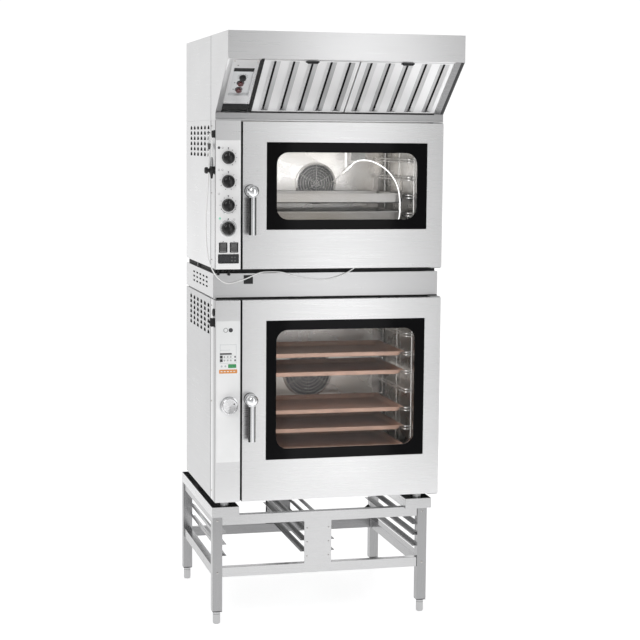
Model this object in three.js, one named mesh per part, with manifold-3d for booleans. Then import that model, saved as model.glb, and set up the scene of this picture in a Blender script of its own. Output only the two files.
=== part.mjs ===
// A free-standing tower of two combi steamer ovens with an extractor hood on a tray stand.
// Millimetres, +Z up, +X to the right seen from the front, +Y to the back. The origin is on the floor,
// under the middle of the tower's box.
import * as THREE from "three";
import { mergeVertices } from "three/addons/utils/BufferGeometryUtils.js";
import Module from "manifold-3d";

// ---------------------------------------------------------------- driving dimensions

const GAP = 0.3; // between pieces that touch
const SHEET = 1.5; // stainless sheet
const HALF_WIDTH = 460; // ovens, stacking frame and hood

// depth levels
const DOOR_FRONT = -308; // front of the doors and of the control columns
const DOOR_BACK = -270;
const GLASS_DEPTH = 6; // set into the front of the door
const CABINET_FRONT = -258; // front flange of the cavities, front of the stacking frame
const CABINET_BACK = 373;
const SEAM = -201; // where the control column's side strip meets the casing's left side
const COVER_BACK = 512; // rear technical covers

// control column and door
const COLUMN_RIGHT = -360.5;
const DOOR_LEFT = -352.5;
const HINGE = { x: 440, y: -292, radius: 5, bore: 5.8 };
const BRACKET = { left: 418, right: 458, thickness: 3.5, back: -232 };

// cavities
const CAVITY = { left: -293, right: 375, back: 330 };
const WHEEL_Y = { front: 266, back: 318 };
const MOTOR = { radius: 70, length: 112, flange: 85 };
const RACK = { wire: 6, reach: 34, front: -222, back: 198, clear: 8 };

const LOWER = {
  bottom: 525,
  top: 1325,
  doorTop: 1325,
  floor: 650,
  ceiling: 1262,
  glass: { left: -257, right: 393, low: 689, high: 1243 },
  window: { left: -221, right: 358, low: 726, high: 1210, corner: 48 },
  handle: { x: -321, z: 935, length: 164 },
  rungs: { first: 713, pitch: 76.3, count: 7 },
  fan: { x: 46, z: 956, wheel: 150, suction: 100 },
  vents: { first: [-157, 1188], pitch: [82, 21.6], count: [6, 6] },
};
const UPPER = {
  bottom: 1447,
  top: 2022.7,
  doorTop: 2018.5,
  floor: 1588,
  ceiling: 1948,
  glass: { left: -258, right: 394, low: 1600, high: 1940 },
  window: { left: -222, right: 358, low: 1634, high: 1906, corner: 48 },
  handle: { x: -321, z: 1751, length: 169 },
  rungs: { first: 1659, pitch: 72, count: 4 },
  fan: { x: 76, z: 1766, wheel: 120, suction: 80 },
  vents: { first: [-154, 1889], pitch: [80, 21.25], count: [6, 6] },
};
const VENT = { length: 40, height: 7 };
const HUB_RADIUS = 24.5; // of the door handles

// controls on the upper column and the dial on the lower one
const KNOB = { x: -410, levels: [1880, 1788, 1696, 1606], radius: 25.5, depth: 24, sides: 18 };
const SHAFT = { radius: 3, length: 14, hole: 4.4 };
const ROCKER = { xs: [-430, -387], z: 1532, width: 23, height: 29, tilt: 6 };
const DIAL = { x: -406, z: 911, radius: 33, depth: 26, sides: 24 };

// stacking frame between the ovens
const SPACER = { plinth: 1325.3, bottom: 1332, top: 1427, ledge: 46 };
const SPACER_VENTS = { first: [-116, 1366], pitch: [74, 18], count: [5, 3] };

// hood
const HOOD = { bottom: 2023, lip: 2052, lipY: -300.5, fasciaY: -558, fasciaLow: 2248, top: 2350 };
const FILTER = { lefts: [-320, 52], width: 367, low: 9, high: 314, depth: 24, pitch: 72, baffle: 46 };
const HOOD_PANEL = { left: -439, right: -337, low: 55, high: 315, depth: 3 };
const HOOD_RECESS = { left: -427, right: -349, low: 104, high: 266, depth: 12 };
const HOOD_KNOB = { x: -384, s: 200, radius: 13, height: 15 };
const HOOD_BUTTONS = [
  { x: -387, s: 166 },
  { x: -388, s: 127 },
];
const BUTTON = { radius: 11, height: 8, hole: 9 };

// stand
const STAND = { half: 450, front: -200, back: 558, legTop: 447, leg: 40, footHeight: 55 };
const RAIL = { low: [193, 233], high: [407, 447], width: 30, wall: 2 };
const RUNNER = { levels: [280, 326, 371], shelf: 20, web: 15, thickness: 2 };
const POST = { left: -70, right: 44, low: 236 };
const CHANNEL = { outer: 458, inner: 347, front: -232, back: 510, bottom: 447.3, top: 489, wall: 2 };
const FOOT = { radius: 15.5, stem: 6, stemTop: 85 };
const OVEN_FOOT = { x: 403, front: -203, back: 315, radius: 17 };

// core probe: plug on the left side of the upper column, cable up over its clip and down through
// the door gap, needle in the upper cavity
const PROBE = { socketY: -290, socketZ: 1830, socketDepth: 3, plugX: -472.3, cableRadius: 2.5 };
const CABLE_STEPS = 80;
const CABLE_ROUTE = [
  [-472.3, -290, 1880.3],
  [-472.3, -290, 1915],
  [-472.8, -290, 1951],
  [-473, -282.7, 1973.7],
  [-473, -265, 1981.5],
  [-473, -247.3, 1973.7],
  [-473, -240, 1951],
  [-473.3, -239.5, 1900],
  [-475, -238.5, 1800],
  [-483.5, -230.5, 1630],
  [-481.5, -238, 1538],
  [-476.5, -251, 1485],
  [-466, -262, 1448],
  [-449, -265.5, 1418],
  [-426, -264, 1397],
  [-398, -262.5, 1388],
  [-335, -262, 1403.5],
  [-272, -260.8, 1429.2],
  [-238, -256, 1431.4],
  [-206, -257.5, 1431.2],
  [-176, -262, 1427.5],
  [-130, -262.3, 1413],
  [-18, -262, 1398.5],
  [36, -262, 1408],
  [82, -263, 1426.5],
  [116, -264.3, 1451],
  [137, -264.3, 1485],
  [148, -264.2, 1580],
  [153.6, -260.4, 1602],
  [168.5, -249.5, 1612.6],
  [199, -234, 1604.4],
  [242, -227, 1592.3],
  [284, -226.5, 1603],
  [306, -226, 1650],
  [298, -226, 1762],
  [262, -227.5, 1821],
  [202, -234, 1861],
  [148, -241, 1872],
  [116, -237, 1864.2],
  [103.2, -231.1, 1851.7],
];
const NEEDLE = { tip: [15, -150, 1757], neck: [71, -216, 1819], cap: [103, -231, 1851.5] };
// The clip that holds the needle by its handle.
const CLIP = { x: [77.5, 85.5], y: [-222.5, -220.5], low: 1839, ring: 9.3, bore: 7 };
const NOTCH = { left: 138, right: 158 }; // in the upper gasket, for the cable

// ---------------------------------------------------------------- materials

const finish = (color, roughness, metalness) =>
  new THREE.MeshStandardMaterial({ color, roughness, metalness });
const STEEL = finish(0xc9cbcc, 0.35, 0.9);
const STEEL_DARK = finish(0x8f9294, 0.4, 0.9);
const CHROME = finish(0xe4e6e8, 0.08, 1);
const BLACK = finish(0x141516, 0.45, 0);
const RUBBER = finish(0x1d1d1e, 0.8, 0);
const GLASS = finish(0x20262a, 0.05, 0);
GLASS.transparent = true;
GLASS.opacity = 0.4;
const ALUMINIUM = finish(0xa9abad, 0.5, 0.8);
const WHITE = finish(0xeeeeec, 0.5, 0);
const RED = finish(0x7c1f1c, 0.3, 0);

// ---------------------------------------------------------------- solids

const wasm = await Module();
wasm.setup();

// Points are snapped to a micrometre, so that faces meant to be level with each other are.
function solid(geometry) {
  const bare = geometry.index ? geometry.toNonIndexed() : geometry.clone();
  bare.deleteAttribute("normal");
  bare.deleteAttribute("uv");
  const places = bare.attributes.position.array;
  places.forEach((value, i) => (places[i] = Math.round(value * 1000) / 1000));
  const merged = mergeVertices(bare, 1e-4);
  const vertProperties = merged.attributes.position.array;
  const triVerts = new Uint32Array(merged.index.array);
  return new wasm.Manifold(new wasm.Mesh({ numProp: 3, vertProperties, triVerts }));
}

function geometryOf(manifold) {
  const mesh = manifold.getMesh();
  const geometry = new THREE.BufferGeometry();
  geometry.setAttribute("position", new THREE.BufferAttribute(mesh.vertProperties, 3));
  geometry.setIndex(new THREE.BufferAttribute(mesh.triVerts, 1));
  const faceted = geometry.toNonIndexed();
  faceted.computeVertexNormals();
  return faceted;
}

const between = (a, b) => [Math.min(a, b), Math.max(a, b)];
const join = (...parts) => parts.reduce((whole, part) => whole.add(part));
const cut = (whole, ...holes) => holes.reduce((rest, hole) => rest.subtract(hole), whole);

function block([x0, x1], [y0, y1], [z0, z1], matrix = new THREE.Matrix4()) {
  const geometry = new THREE.BoxGeometry(x1 - x0, y1 - y0, z1 - z0);
  geometry.translate((x0 + x1) / 2, (y0 + y1) / 2, (z0 + z1) / 2);
  return solid(geometry.applyMatrix4(matrix));
}

// A cylinder, or a cone where the radii differ, between two points.
function rod(from, to, radius, sides = 16, endRadius = radius) {
  const start = new THREE.Vector3(...from);
  const along = new THREE.Vector3(...to).sub(start);
  const length = along.length();
  const geometry = new THREE.CylinderGeometry(endRadius, radius, length, sides);
  const turn = new THREE.Quaternion();
  turn.setFromUnitVectors(new THREE.Vector3(0, 1, 0), along.normalize());
  geometry.translate(0, length / 2, 0);
  geometry.applyQuaternion(turn);
  geometry.translate(start.x, start.y, start.z);
  return solid(geometry);
}

// A rectangle with round corners in the XZ plane, extruded from y0 to y1.
function roundedPane({ left, right, low, high }, corner, [y0, y1]) {
  const shape = new THREE.Shape();
  shape.absarc(right - corner, high - corner, corner, 0, Math.PI / 2);
  shape.absarc(left + corner, high - corner, corner, Math.PI / 2, Math.PI);
  shape.absarc(left + corner, low + corner, corner, Math.PI, (3 * Math.PI) / 2);
  shape.absarc(right - corner, low + corner, corner, (3 * Math.PI) / 2, 2 * Math.PI);
  const extrusion = { depth: y1 - y0, bevelEnabled: false, curveSegments: 5 };
  const geometry = new THREE.ExtrudeGeometry(shape, extrusion);
  geometry.rotateX(Math.PI / 2);
  geometry.translate(0, y1, 0);
  return solid(geometry);
}

// An outline of [y, z] points, extruded from x0 to x1.
function prism(outline, [x0, x1]) {
  const shape = new THREE.Shape(outline.map(([y, z]) => new THREE.Vector2(y, z)));
  const geometry = new THREE.ExtrudeGeometry(shape, { depth: x1 - x0, bevelEnabled: false });
  const turn = new THREE.Matrix4();
  turn.makeBasis(new THREE.Vector3(0, 1, 0), new THREE.Vector3(0, 0, 1), new THREE.Vector3(1, 0, 0));
  geometry.applyMatrix4(turn);
  geometry.translate(x0, 0, 0);
  return solid(geometry);
}

// A profile of [radius, height] points turned about the Y axis.
function turned(profile, sides = 24) {
  return solid(new THREE.LatheGeometry(profile.map(([r, h]) => new THREE.Vector2(r, h)), sides));
}

const tower = new THREE.Group();

function node(name, manifold, material, parent = tower) {
  const mesh = new THREE.Mesh(geometryOf(manifold), material);
  mesh.name = name;
  parent.add(mesh);
  return mesh;
}

function groupAt(x, y, z) {
  const group = new THREE.Group();
  group.position.set(x, y, z);
  tower.add(group);
  return group;
}

// Slots through the left side sheet, as [y, z] rows and columns.
function ventSlots({ first, pitch, count }) {
  const slots = [];
  for (let column = 0; column < count[0]; column++)
    for (let row = 0; row < count[1]; row++) {
      const y = first[0] + column * pitch[0];
      const z = first[1] + row * pitch[1];
      const length = [y - VENT.length / 2, y + VENT.length / 2];
      const height = [z - VENT.height / 2, z + VENT.height / 2];
      slots.push(block([-HALF_WIDTH - 5, -HALF_WIDTH + 5], length, height));
    }
  return slots;
}

// ---------------------------------------------------------------- ovens

// Two sides, roof and back as one folded shell, open to the front and below.
// Its front left corner is cut away for the column.
function casing(oven) {
  const front = CABINET_FRONT + GAP;
  const shell = block([-HALF_WIDTH, HALF_WIDTH], [front, CABINET_BACK], [oven.bottom, oven.top]);
  const inside = block(
    [-HALF_WIDTH + SHEET, HALF_WIDTH - SHEET],
    [front - 5, CABINET_BACK - SHEET],
    [oven.bottom - 5, oven.top - SHEET],
  );
  const columnNotch = block(
    [-HALF_WIDTH - 5, COLUMN_RIGHT + GAP],
    [front - 5, SEAM + GAP],
    [oven.bottom - 5, oven.top + 5],
  );
  const motorHole = rod(
    [oven.fan.x, CABINET_BACK - 20, oven.fan.z],
    [oven.fan.x, CABINET_BACK + 20, oven.fan.z],
    MOTOR.flange + 5,
  );
  return cut(shell, inside, columnNotch, motorHole, ...ventSlots(oven.vents));
}

function basePan(oven, footBottom) {
  const inside = HALF_WIDTH - SHEET - GAP;
  const depth = [CABINET_FRONT + SHEET + GAP, CABINET_BACK - SHEET - GAP];
  const rimTop = oven.bottom + 25;
  const room = block(
    [-inside + SHEET, inside - SHEET],
    [depth[0] + SHEET, depth[1] - SHEET],
    [oven.bottom + SHEET, rimTop + 1],
  );
  const pan = cut(block([-inside, inside], depth, [oven.bottom, rimTop]), room);
  const feet = [];
  for (const x of [-OVEN_FOOT.x, OVEN_FOOT.x])
    for (const y of [OVEN_FOOT.front, OVEN_FOOT.back])
      feet.push(rod([x, y, footBottom], [x, y, oven.bottom + 1], OVEN_FOOT.radius));
  return join(pan, ...feet);
}

function rearCover(oven) {
  const x = HALF_WIDTH - 45;
  const low = oven.bottom + 40;
  const high = oven.top - 40;
  const front = CABINET_BACK + GAP;
  return cut(
    block([-x, x], [front, COVER_BACK], [low, high]),
    block([-x + SHEET, x - SHEET], [front - 1, COVER_BACK - SHEET], [low + SHEET, high - SHEET]),
  );
}

// A front flange and a tub behind it. fittings stand inside the tub, welded to it.
function cavity(oven, fittings) {
  const { fan, floor, ceiling } = oven;
  const flange = block(
    [COLUMN_RIGHT + 2 * GAP, HALF_WIDTH - SHEET - GAP],
    [CABINET_FRONT, CABINET_FRONT + SHEET],
    [oven.bottom, oven.top - SHEET - GAP],
  );
  const tub = block(
    [CAVITY.left - SHEET, CAVITY.right + SHEET],
    [CABINET_FRONT, CAVITY.back + SHEET],
    [floor - SHEET, ceiling + SHEET],
  );
  const room = block(
    [CAVITY.left, CAVITY.right],
    [CABINET_FRONT - 5, CAVITY.back],
    [floor, ceiling],
  );
  const shaftHole = rod([fan.x, CAVITY.back - 10, fan.z], [fan.x, CAVITY.back + 10, fan.z], 9);
  return join(cut(join(flange, tub), room, shaftHole), ...fittings);
}

// A ring round the probe's handle, on a strap that hangs from the cavity's ceiling.
function probeClip(ceiling) {
  const neck = new THREE.Vector3(...NEEDLE.neck);
  const cap = new THREE.Vector3(...NEEDLE.cap);
  const along = (share) => neck.clone().lerp(cap, share).toArray();
  const strap = block(CLIP.x, CLIP.y, [CLIP.low, ceiling + SHEET / 2]);
  const ring = rod(along(0.42), along(0.58), CLIP.ring, 20);
  return cut(join(ring, strap), rod(along(0.1), along(0.9), CLIP.bore, 20));
}

// A folded box: front, left side strip back to the seam, roof, floor and a short right side.
function controlColumn(oven, holes) {
  const flangeGap = CABINET_FRONT - GAP;
  const shell = block([-HALF_WIDTH, COLUMN_RIGHT], [DOOR_FRONT, SEAM], [oven.bottom, oven.top]);
  const inside = block(
    [-HALF_WIDTH + SHEET, COLUMN_RIGHT - SHEET],
    [DOOR_FRONT + SHEET, flangeGap + 5],
    [oven.bottom + SHEET, oven.top - SHEET],
  );
  const behind = block(
    [-HALF_WIDTH + SHEET, COLUMN_RIGHT + 5],
    [flangeGap, SEAM + 5],
    [oven.bottom - 5, oven.top - SHEET],
  );
  return cut(shell, inside, behind, ...holes);
}

function shaftHoleInColumn(x, z) {
  return rod([x, DOOR_FRONT - 5, z], [x, DOOR_FRONT + 5, z], SHAFT.hole, 8);
}

// A hollow pressing around the window, with a pocket for the glass, two hinge bores
// and a hole for the handle.
function doorPanel(oven) {
  const outerDepth = [DOOR_FRONT, DOOR_BACK];
  const width = [DOOR_LEFT, HALF_WIDTH];
  const height = [oven.bottom, oven.doorTop];
  const { glass, window, handle } = oven;
  const sleeve = {
    left: window.left - SHEET,
    right: window.right + SHEET,
    low: window.low - SHEET,
    high: window.high + SHEET,
  };
  const inner = block(
    [width[0] + SHEET, width[1] - SHEET],
    [outerDepth[0] + SHEET, outerDepth[1] - SHEET],
    [height[0] + SHEET, height[1] - SHEET],
  );
  const hollow = cut(inner, roundedPane(sleeve, window.corner + SHEET, outerDepth));
  const pocket = block(
    [glass.left - GAP, glass.right + GAP],
    [DOOR_FRONT - 5, DOOR_FRONT + GLASS_DEPTH + GAP],
    [glass.low - GAP, glass.high + GAP],
  );
  const { x, y, bore } = HINGE;
  const hingeBore = rod([x, y, height[0] - 5], [x, y, height[1] + 5], bore, 12);
  const shaftStart = [handle.x, DOOR_FRONT - 5, handle.z];
  const shaftHole = rod(shaftStart, [handle.x, DOOR_FRONT + 5, handle.z], 9, 12);
  return cut(
    block(width, outerDepth, height),
    hollow,
    roundedPane(window, window.corner, [DOOR_FRONT - 5, DOOR_BACK + 5]),
    pocket,
    hingeBore,
    shaftHole,
  );
}

function doorGlass({ glass }) {
  const depth = [DOOR_FRONT, DOOR_FRONT + GLASS_DEPTH];
  return block([glass.left, glass.right], depth, [glass.low, glass.high]);
}

function gasket(oven, notches) {
  const inset = 5;
  const width = 15;
  const depth = [DOOR_BACK + GAP, CABINET_FRONT - GAP];
  const around = (margin, y) =>
    block(
      [CAVITY.left - margin, CAVITY.right + margin],
      y,
      [oven.floor - margin, oven.ceiling + margin],
    );
  const room = around(inset, [depth[0] - 5, depth[1] + 5]);
  return cut(around(inset + width, depth), room, ...notches);
}

// Dome hub on the door, with a lever that hangs down in front of it and a shaft into the door.
function doorHandle({ handle }) {
  const hubDepth = 62;
  const leverY = -36;
  const hub = turned([
    [0, -hubDepth],
    [14, -60],
    [21.5, -53],
    [HUB_RADIUS, -42],
    [HUB_RADIUS, 0],
    [8, 0],
    [8, 24],
    [0, 24],
  ]);
  const lever = rod([0, leverY, -handle.length], [0, leverY, 0], 14, 16);
  return join(hub, lever);
}

// A rod the height of the door, held by a bracket above and a bracket below.
function hingeRod(oven, parent) {
  const low = oven.bottom - GAP - BRACKET.thickness;
  const high = oven.doorTop + GAP + BRACKET.thickness;
  const width = [BRACKET.left, BRACKET.right];
  return join(
    rod([HINGE.x, HINGE.y, low + 1], [HINGE.x, HINGE.y, high - 1], HINGE.radius, 12),
    block(width, [DOOR_FRONT + 4, parent.lowBack], [low, low + BRACKET.thickness]),
    block(width, [DOOR_FRONT + 4, parent.highBack], [high - BRACKET.thickness, high]),
  );
}

function fanBaffle(oven) {
  const depth = [WHEEL_Y.front - 14, WHEEL_Y.front - 12];
  const width = [CAVITY.left + 40, CAVITY.right - 40];
  const plate = block(width, depth, [oven.floor + 12, oven.ceiling - 12]);
  const { x: fanX, z: fanZ, suction } = oven.fan;
  const eye = rod([fanX, depth[0] - 5, fanZ], [fanX, depth[1] + 5, fanZ], suction);
  const posts = [];
  for (const x of [CAVITY.left + 60, CAVITY.right - 60])
    for (const z of [oven.floor + 40, oven.ceiling - 40])
      posts.push(rod([x, depth[0] + 1, z], [x, CAVITY.back - GAP, z], 5, 8));
  return join(cut(plate, eye), ...posts);
}

// Back disc, twelve blades, hub and motor shaft, about an axis along Y.
function fanWheel({ fan }) {
  const blades = 12;
  const disc = rod([0, WHEEL_Y.back - 3, 0], [0, WHEEL_Y.back, 0], fan.wheel - 4, 24);
  const hub = rod([0, WHEEL_Y.front + 10, 0], [0, WHEEL_Y.back, 0], 20, 12);
  const shaft = rod([0, WHEEL_Y.back - 5, 0], [0, CAVITY.back + 50, 0], 6, 12);
  const parts = [disc, hub, shaft];
  for (let i = 0; i < blades; i++) {
    const turn = new THREE.Matrix4().makeRotationY((i / blades) * 2 * Math.PI);
    const reach = [fan.wheel - 42, fan.wheel - 6];
    parts.push(block(reach, [WHEEL_Y.front, WHEEL_Y.back - 1], [-1, 1], turn));
  }
  return join(...parts);
}

function fanMotor({ fan }) {
  const start = CAVITY.back + SHEET + GAP;
  const body = rod([fan.x, start + 6, fan.z], [fan.x, start + MOTOR.length, fan.z], MOTOR.radius, 24);
  const flange = rod([fan.x, start, fan.z], [fan.x, start + 7, fan.z], MOTOR.flange, 24);
  const bore = rod([fan.x, start - 5, fan.z], [fan.x, CAVITY.back + 60, fan.z], 7.5, 12);
  return cut(join(body, flange), bore);
}

// Upright wires near the cavity wall and a bent rung at each tray level.
// side is -1 on the left, 1 on the right.
function trayRack(oven, side) {
  const wall = side < 0 ? CAVITY.left : CAVITY.right;
  const near = wall - side * RACK.clear;
  const far = wall - side * RACK.reach;
  const thick = (ends) => [Math.min(...ends) - RACK.wire / 2, Math.max(...ends) + RACK.wire / 2];
  const wire = (xs, ys, zs) => block(thick(xs), thick(ys), thick(zs));
  const { first, pitch, count } = oven.rungs;
  const last = first + (count - 1) * pitch;
  const low = oven.floor + RACK.wire / 2 + GAP;
  const high = Math.min(last + 45, oven.ceiling - 20);
  const middle = (RACK.front + RACK.back) / 2;
  const parts = [RACK.front, middle, RACK.back].map((y) => wire([near], [y], [low, high]));
  parts.push(wire([near], [RACK.front, RACK.back], [high]));
  for (let i = 0; i < count; i++) {
    const z = first + i * pitch;
    parts.push(wire([far], [RACK.front, RACK.back], [z]));
    parts.push(wire([near, far], [RACK.front], [z]));
    parts.push(wire([near, far], [RACK.back], [z]));
  }
  return join(...parts);
}

// ---------------------------------------------------------------- controls

// A knob that widens towards the panel, with its shaft behind it.
function knobBody({ radius, depth, sides }) {
  const profile = [
    [0, -depth],
    [radius * 0.8, -depth],
    [radius * 0.88, -depth + 2],
    [radius, -4],
    [radius, 0],
    [SHAFT.radius, 0],
    [SHAFT.radius, SHAFT.length],
    [0, SHAFT.length],
  ];
  return turned(profile, sides);
}

function upperKnobs() {
  KNOB.levels.forEach((z, i) => {
    const place = groupAt(KNOB.x, DOOR_FRONT - GAP, z);
    node(`upper_knob_${i + 1}`, knobBody(KNOB), BLACK, place);
  });
}

// A shallow V-shaped button that rocks about X, stored with one end pressed in.
function rockerSwitches() {
  const half = ROCKER.height / 2;
  const outline = [
    [8, -half + 2],
    [-7, -half],
    [-4.5, 0],
    [-7, half],
    [8, half - 2],
  ];
  const width = [-ROCKER.width / 2, ROCKER.width / 2];
  ROCKER.xs.forEach((x, i) => {
    const place = groupAt(x, DOOR_FRONT, ROCKER.z);
    const rocker = node(`upper_rocker_${i + 1}`, prism(outline, width), BLACK, place);
    rocker.rotation.x = THREE.MathUtils.degToRad(-ROCKER.tilt);
  });
}

function rockerHole(x) {
  const halfWidth = ROCKER.width / 2 + 1;
  const halfHeight = ROCKER.height / 2 + 2;
  return block(
    [x - halfWidth, x + halfWidth],
    [DOOR_FRONT - 5, DOOR_FRONT + 5],
    [ROCKER.z - halfHeight, ROCKER.z + halfHeight],
  );
}

// ---------------------------------------------------------------- one oven, all its nodes

function oven(name, plan, { columnHoles, footBottom, lowBack, highBack, notches, fittings }) {
  const handlePlace = groupAt(plan.handle.x, DOOR_FRONT - GAP, plan.handle.z);
  node(`${name}_casing`, casing(plan), STEEL);
  node(`${name}_base`, basePan(plan, footBottom), STEEL_DARK);
  node(`${name}_rear_cover`, rearCover(plan), STEEL_DARK);
  node(`${name}_cavity`, cavity(plan, fittings), STEEL);
  node(`${name}_control_column`, controlColumn(plan, columnHoles), STEEL);
  node(`${name}_door_panel`, doorPanel(plan), STEEL);
  node(`${name}_door_glass`, doorGlass(plan), GLASS);
  node(`${name}_door_gasket`, gasket(plan, notches), RUBBER);
  node(`${name}_hinge_rod`, hingeRod(plan, { lowBack, highBack }), STEEL_DARK);
  node(`${name}_fan_baffle`, fanBaffle(plan), STEEL);
  node(`${name}_fan_motor`, fanMotor(plan), ALUMINIUM);
  node(`${name}_rack_left`, trayRack(plan, -1), CHROME);
  node(`${name}_rack_right`, trayRack(plan, 1), CHROME);
  node(`${name}_door_handle`, doorHandle(plan), CHROME, handlePlace);
  node(`${name}_fan_wheel`, fanWheel(plan), STEEL, groupAt(plan.fan.x, 0, plan.fan.z));
}

// ---------------------------------------------------------------- stacking frame

function stackingFrame() {
  const outer = [-HALF_WIDTH, HALF_WIDTH];
  const depth = [CABINET_FRONT, CABINET_BACK];
  const inset = 8;
  const inwards = ([a, b], by) => [a + by, b - by];
  const box = (margin, height) => block(inwards(outer, margin), inwards(depth, margin), height);
  const ringAt = (margin, thickness, height) =>
    cut(box(margin, height), box(margin + thickness, inwards(height, -5)));
  const walls = ringAt(0, SHEET, [SPACER.bottom, SPACER.top]);
  const topLedge = ringAt(0, SPACER.ledge, [SPACER.top - 2, SPACER.top]);
  const footLedge = ringAt(0, inset + SHEET, [SPACER.bottom, SPACER.bottom + 2]);
  const plinth = ringAt(inset, SHEET, [SPACER.plinth, SPACER.bottom + 1]);
  const padReach = 95;
  const pads = [];
  for (const side of [-1, 1])
    for (const y of [OVEN_FOOT.front, OVEN_FOOT.back]) {
      const xs = between(side * (HALF_WIDTH - 1), side * (HALF_WIDTH - padReach));
      pads.push(block(xs, [y - 30, y + 30], [SPACER.top - 2, SPACER.top]));
    }
  return cut(join(walls, topLedge, footLedge, plinth, ...pads), ...ventSlots(SPACER_VENTS));
}

// ---------------------------------------------------------------- hood

// The sloping filter plane: local x along the width, y up the slope, z out of it.
const slopeRun = HOOD.fasciaY - HOOD.lipY;
const slopeRise = HOOD.fasciaLow - HOOD.lip;
const SLOPE_LENGTH = Math.hypot(slopeRun, slopeRise);
const upSlope = new THREE.Vector3(0, slopeRun / SLOPE_LENGTH, slopeRise / SLOPE_LENGTH);
const acrossSlope = new THREE.Vector3(1, 0, 0);
const outOfSlope = new THREE.Vector3().crossVectors(acrossSlope, upSlope);
const slopeMatrix = new THREE.Matrix4()
  .makeBasis(acrossSlope, upSlope, outOfSlope)
  .setPosition(0, HOOD.lipY, HOOD.lip);

function hoodShell() {
  const outline = [
    [HOOD.lipY, HOOD.bottom],
    [CABINET_BACK, HOOD.bottom],
    [CABINET_BACK, HOOD.top],
    [HOOD.fasciaY, HOOD.top],
    [HOOD.fasciaY, HOOD.fasciaLow],
    [HOOD.lipY, HOOD.lip],
  ];
  const width = [-HALF_WIDTH, HALF_WIDTH];
  const within = [-HALF_WIDTH + 0.6, HALF_WIDTH - 0.6];
  const strip = (x, s) => block(x, s, [-SHEET - 0.3, -0.3], slopeMatrix);
  return join(
    prism(outline, [-HALF_WIDTH, -HALF_WIDTH + SHEET]),
    prism(outline, [HALF_WIDTH - SHEET, HALF_WIDTH]),
    block(width, [HOOD.fasciaY, HOOD.fasciaY + SHEET], [HOOD.fasciaLow, HOOD.top]),
    block(width, [HOOD.fasciaY, CABINET_BACK], [HOOD.top - SHEET, HOOD.top]),
    block(width, [CABINET_BACK - SHEET, CABINET_BACK], [HOOD.bottom, HOOD.top]),
    block(width, [HOOD.lipY, CABINET_BACK], [HOOD.bottom, HOOD.bottom + SHEET]),
    block(width, [HOOD.lipY, HOOD.lipY + SHEET], [HOOD.bottom, HOOD.lip]),
    block(width, [HOOD.lipY, HOOD.lipY + 30], [HOOD.lip - SHEET, HOOD.lip]),
    strip([within[0], HOOD_PANEL.left - GAP], [0, SLOPE_LENGTH]),
    strip([HOOD_PANEL.right + GAP, FILTER.lefts[0] - 1.5], [0, SLOPE_LENGTH]),
    strip([FILTER.lefts[1] + FILTER.width + 1.5, within[1]], [0, SLOPE_LENGTH]),
    strip(within, [FILTER.high + 3, SLOPE_LENGTH]),
  );
}

// Frame and bright baffles, in the slope's own frame.
function baffleFilter(left) {
  const right = left + FILTER.width;
  const outer = [-FILTER.depth, -1];
  const rim = 14;
  const inset = (by, depth) =>
    block([left + by, right - by], [FILTER.low + by, FILTER.high - by], depth);
  const frame = cut(
    inset(0, outer),
    inset(SHEET, [-FILTER.depth + 2, -2.5]),
    inset(rim, [-FILTER.depth - 5, 5]),
  );
  const baffles = [];
  const first = left + FILTER.width / 2 - 2 * FILTER.pitch;
  for (let i = 0; i < 5; i++) {
    const x = first + i * FILTER.pitch;
    const half = FILTER.baffle / 2;
    baffles.push(block([x - half, x + half], [FILTER.low + 3, FILTER.high - 3], [-2.6, -1]));
  }
  return join(frame, ...baffles);
}

function hoodPanel() {
  const { left, right, low, high, depth } = HOOD_PANEL;
  const recess = HOOD_RECESS;
  const tray = block(
    [recess.left - SHEET, recess.right + SHEET],
    [recess.low - SHEET, recess.high + SHEET],
    [-recess.depth - SHEET, -1],
  );
  const room = block([recess.left, recess.right], [recess.low, recess.high], [-recess.depth, 5]);
  const through = ({ x, s }, radius, sides) => rod([x, s, -30], [x, s, 5], radius, sides);
  const holes = HOOD_BUTTONS.map((button) => through(button, BUTTON.hole, 16));
  holes.push(through(HOOD_KNOB, SHAFT.hole, 8));
  return cut(join(block([left, right], [low, high], [-depth, 0]), tray), room, ...holes);
}

// A cap in front of the panel with a narrower stem through its hole, along the slope's outward axis.
function pushButton({ x, s }) {
  const floor = -HOOD_RECESS.depth;
  const rest = floor + 4;
  return join(
    rod([x, s, rest], [x, s, rest + BUTTON.height], BUTTON.radius, 20),
    rod([x, s, floor - 12], [x, s, rest + 1], BUTTON.hole - 1, 16),
  );
}

function speedKnob({ x, s, radius, height }) {
  const floor = -HOOD_RECESS.depth + GAP;
  return join(
    rod([x, s, floor], [x, s, floor + height], radius, 20),
    rod([x, s, floor - 16], [x, s, floor + 1], SHAFT.radius, 8),
  );
}

function hood() {
  const slope = new THREE.Group();
  slope.applyMatrix4(slopeMatrix);
  tower.add(slope);
  node("hood_shell", hoodShell(), STEEL);
  node("hood_filter_left", baffleFilter(FILTER.lefts[0]), STEEL, slope);
  node("hood_filter_right", baffleFilter(FILTER.lefts[1]), STEEL, slope);
  node("hood_control_panel", hoodPanel(), STEEL, slope);
  node("hood_speed_knob", speedKnob(HOOD_KNOB), BLACK, slope);
  HOOD_BUTTONS.forEach((place, i) => node(`hood_button_${i + 1}`, pushButton(place), RED, slope));
}

// ---------------------------------------------------------------- stand

function tube(xs, ys, zs, openAxis) {
  const inner = [xs, ys, zs].map(([a, b], axis) =>
    axis === openAxis ? [a - 5, b + 5] : [a + RAIL.wall, b - RAIL.wall],
  );
  return cut(block(xs, ys, zs), block(...inner));
}

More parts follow.
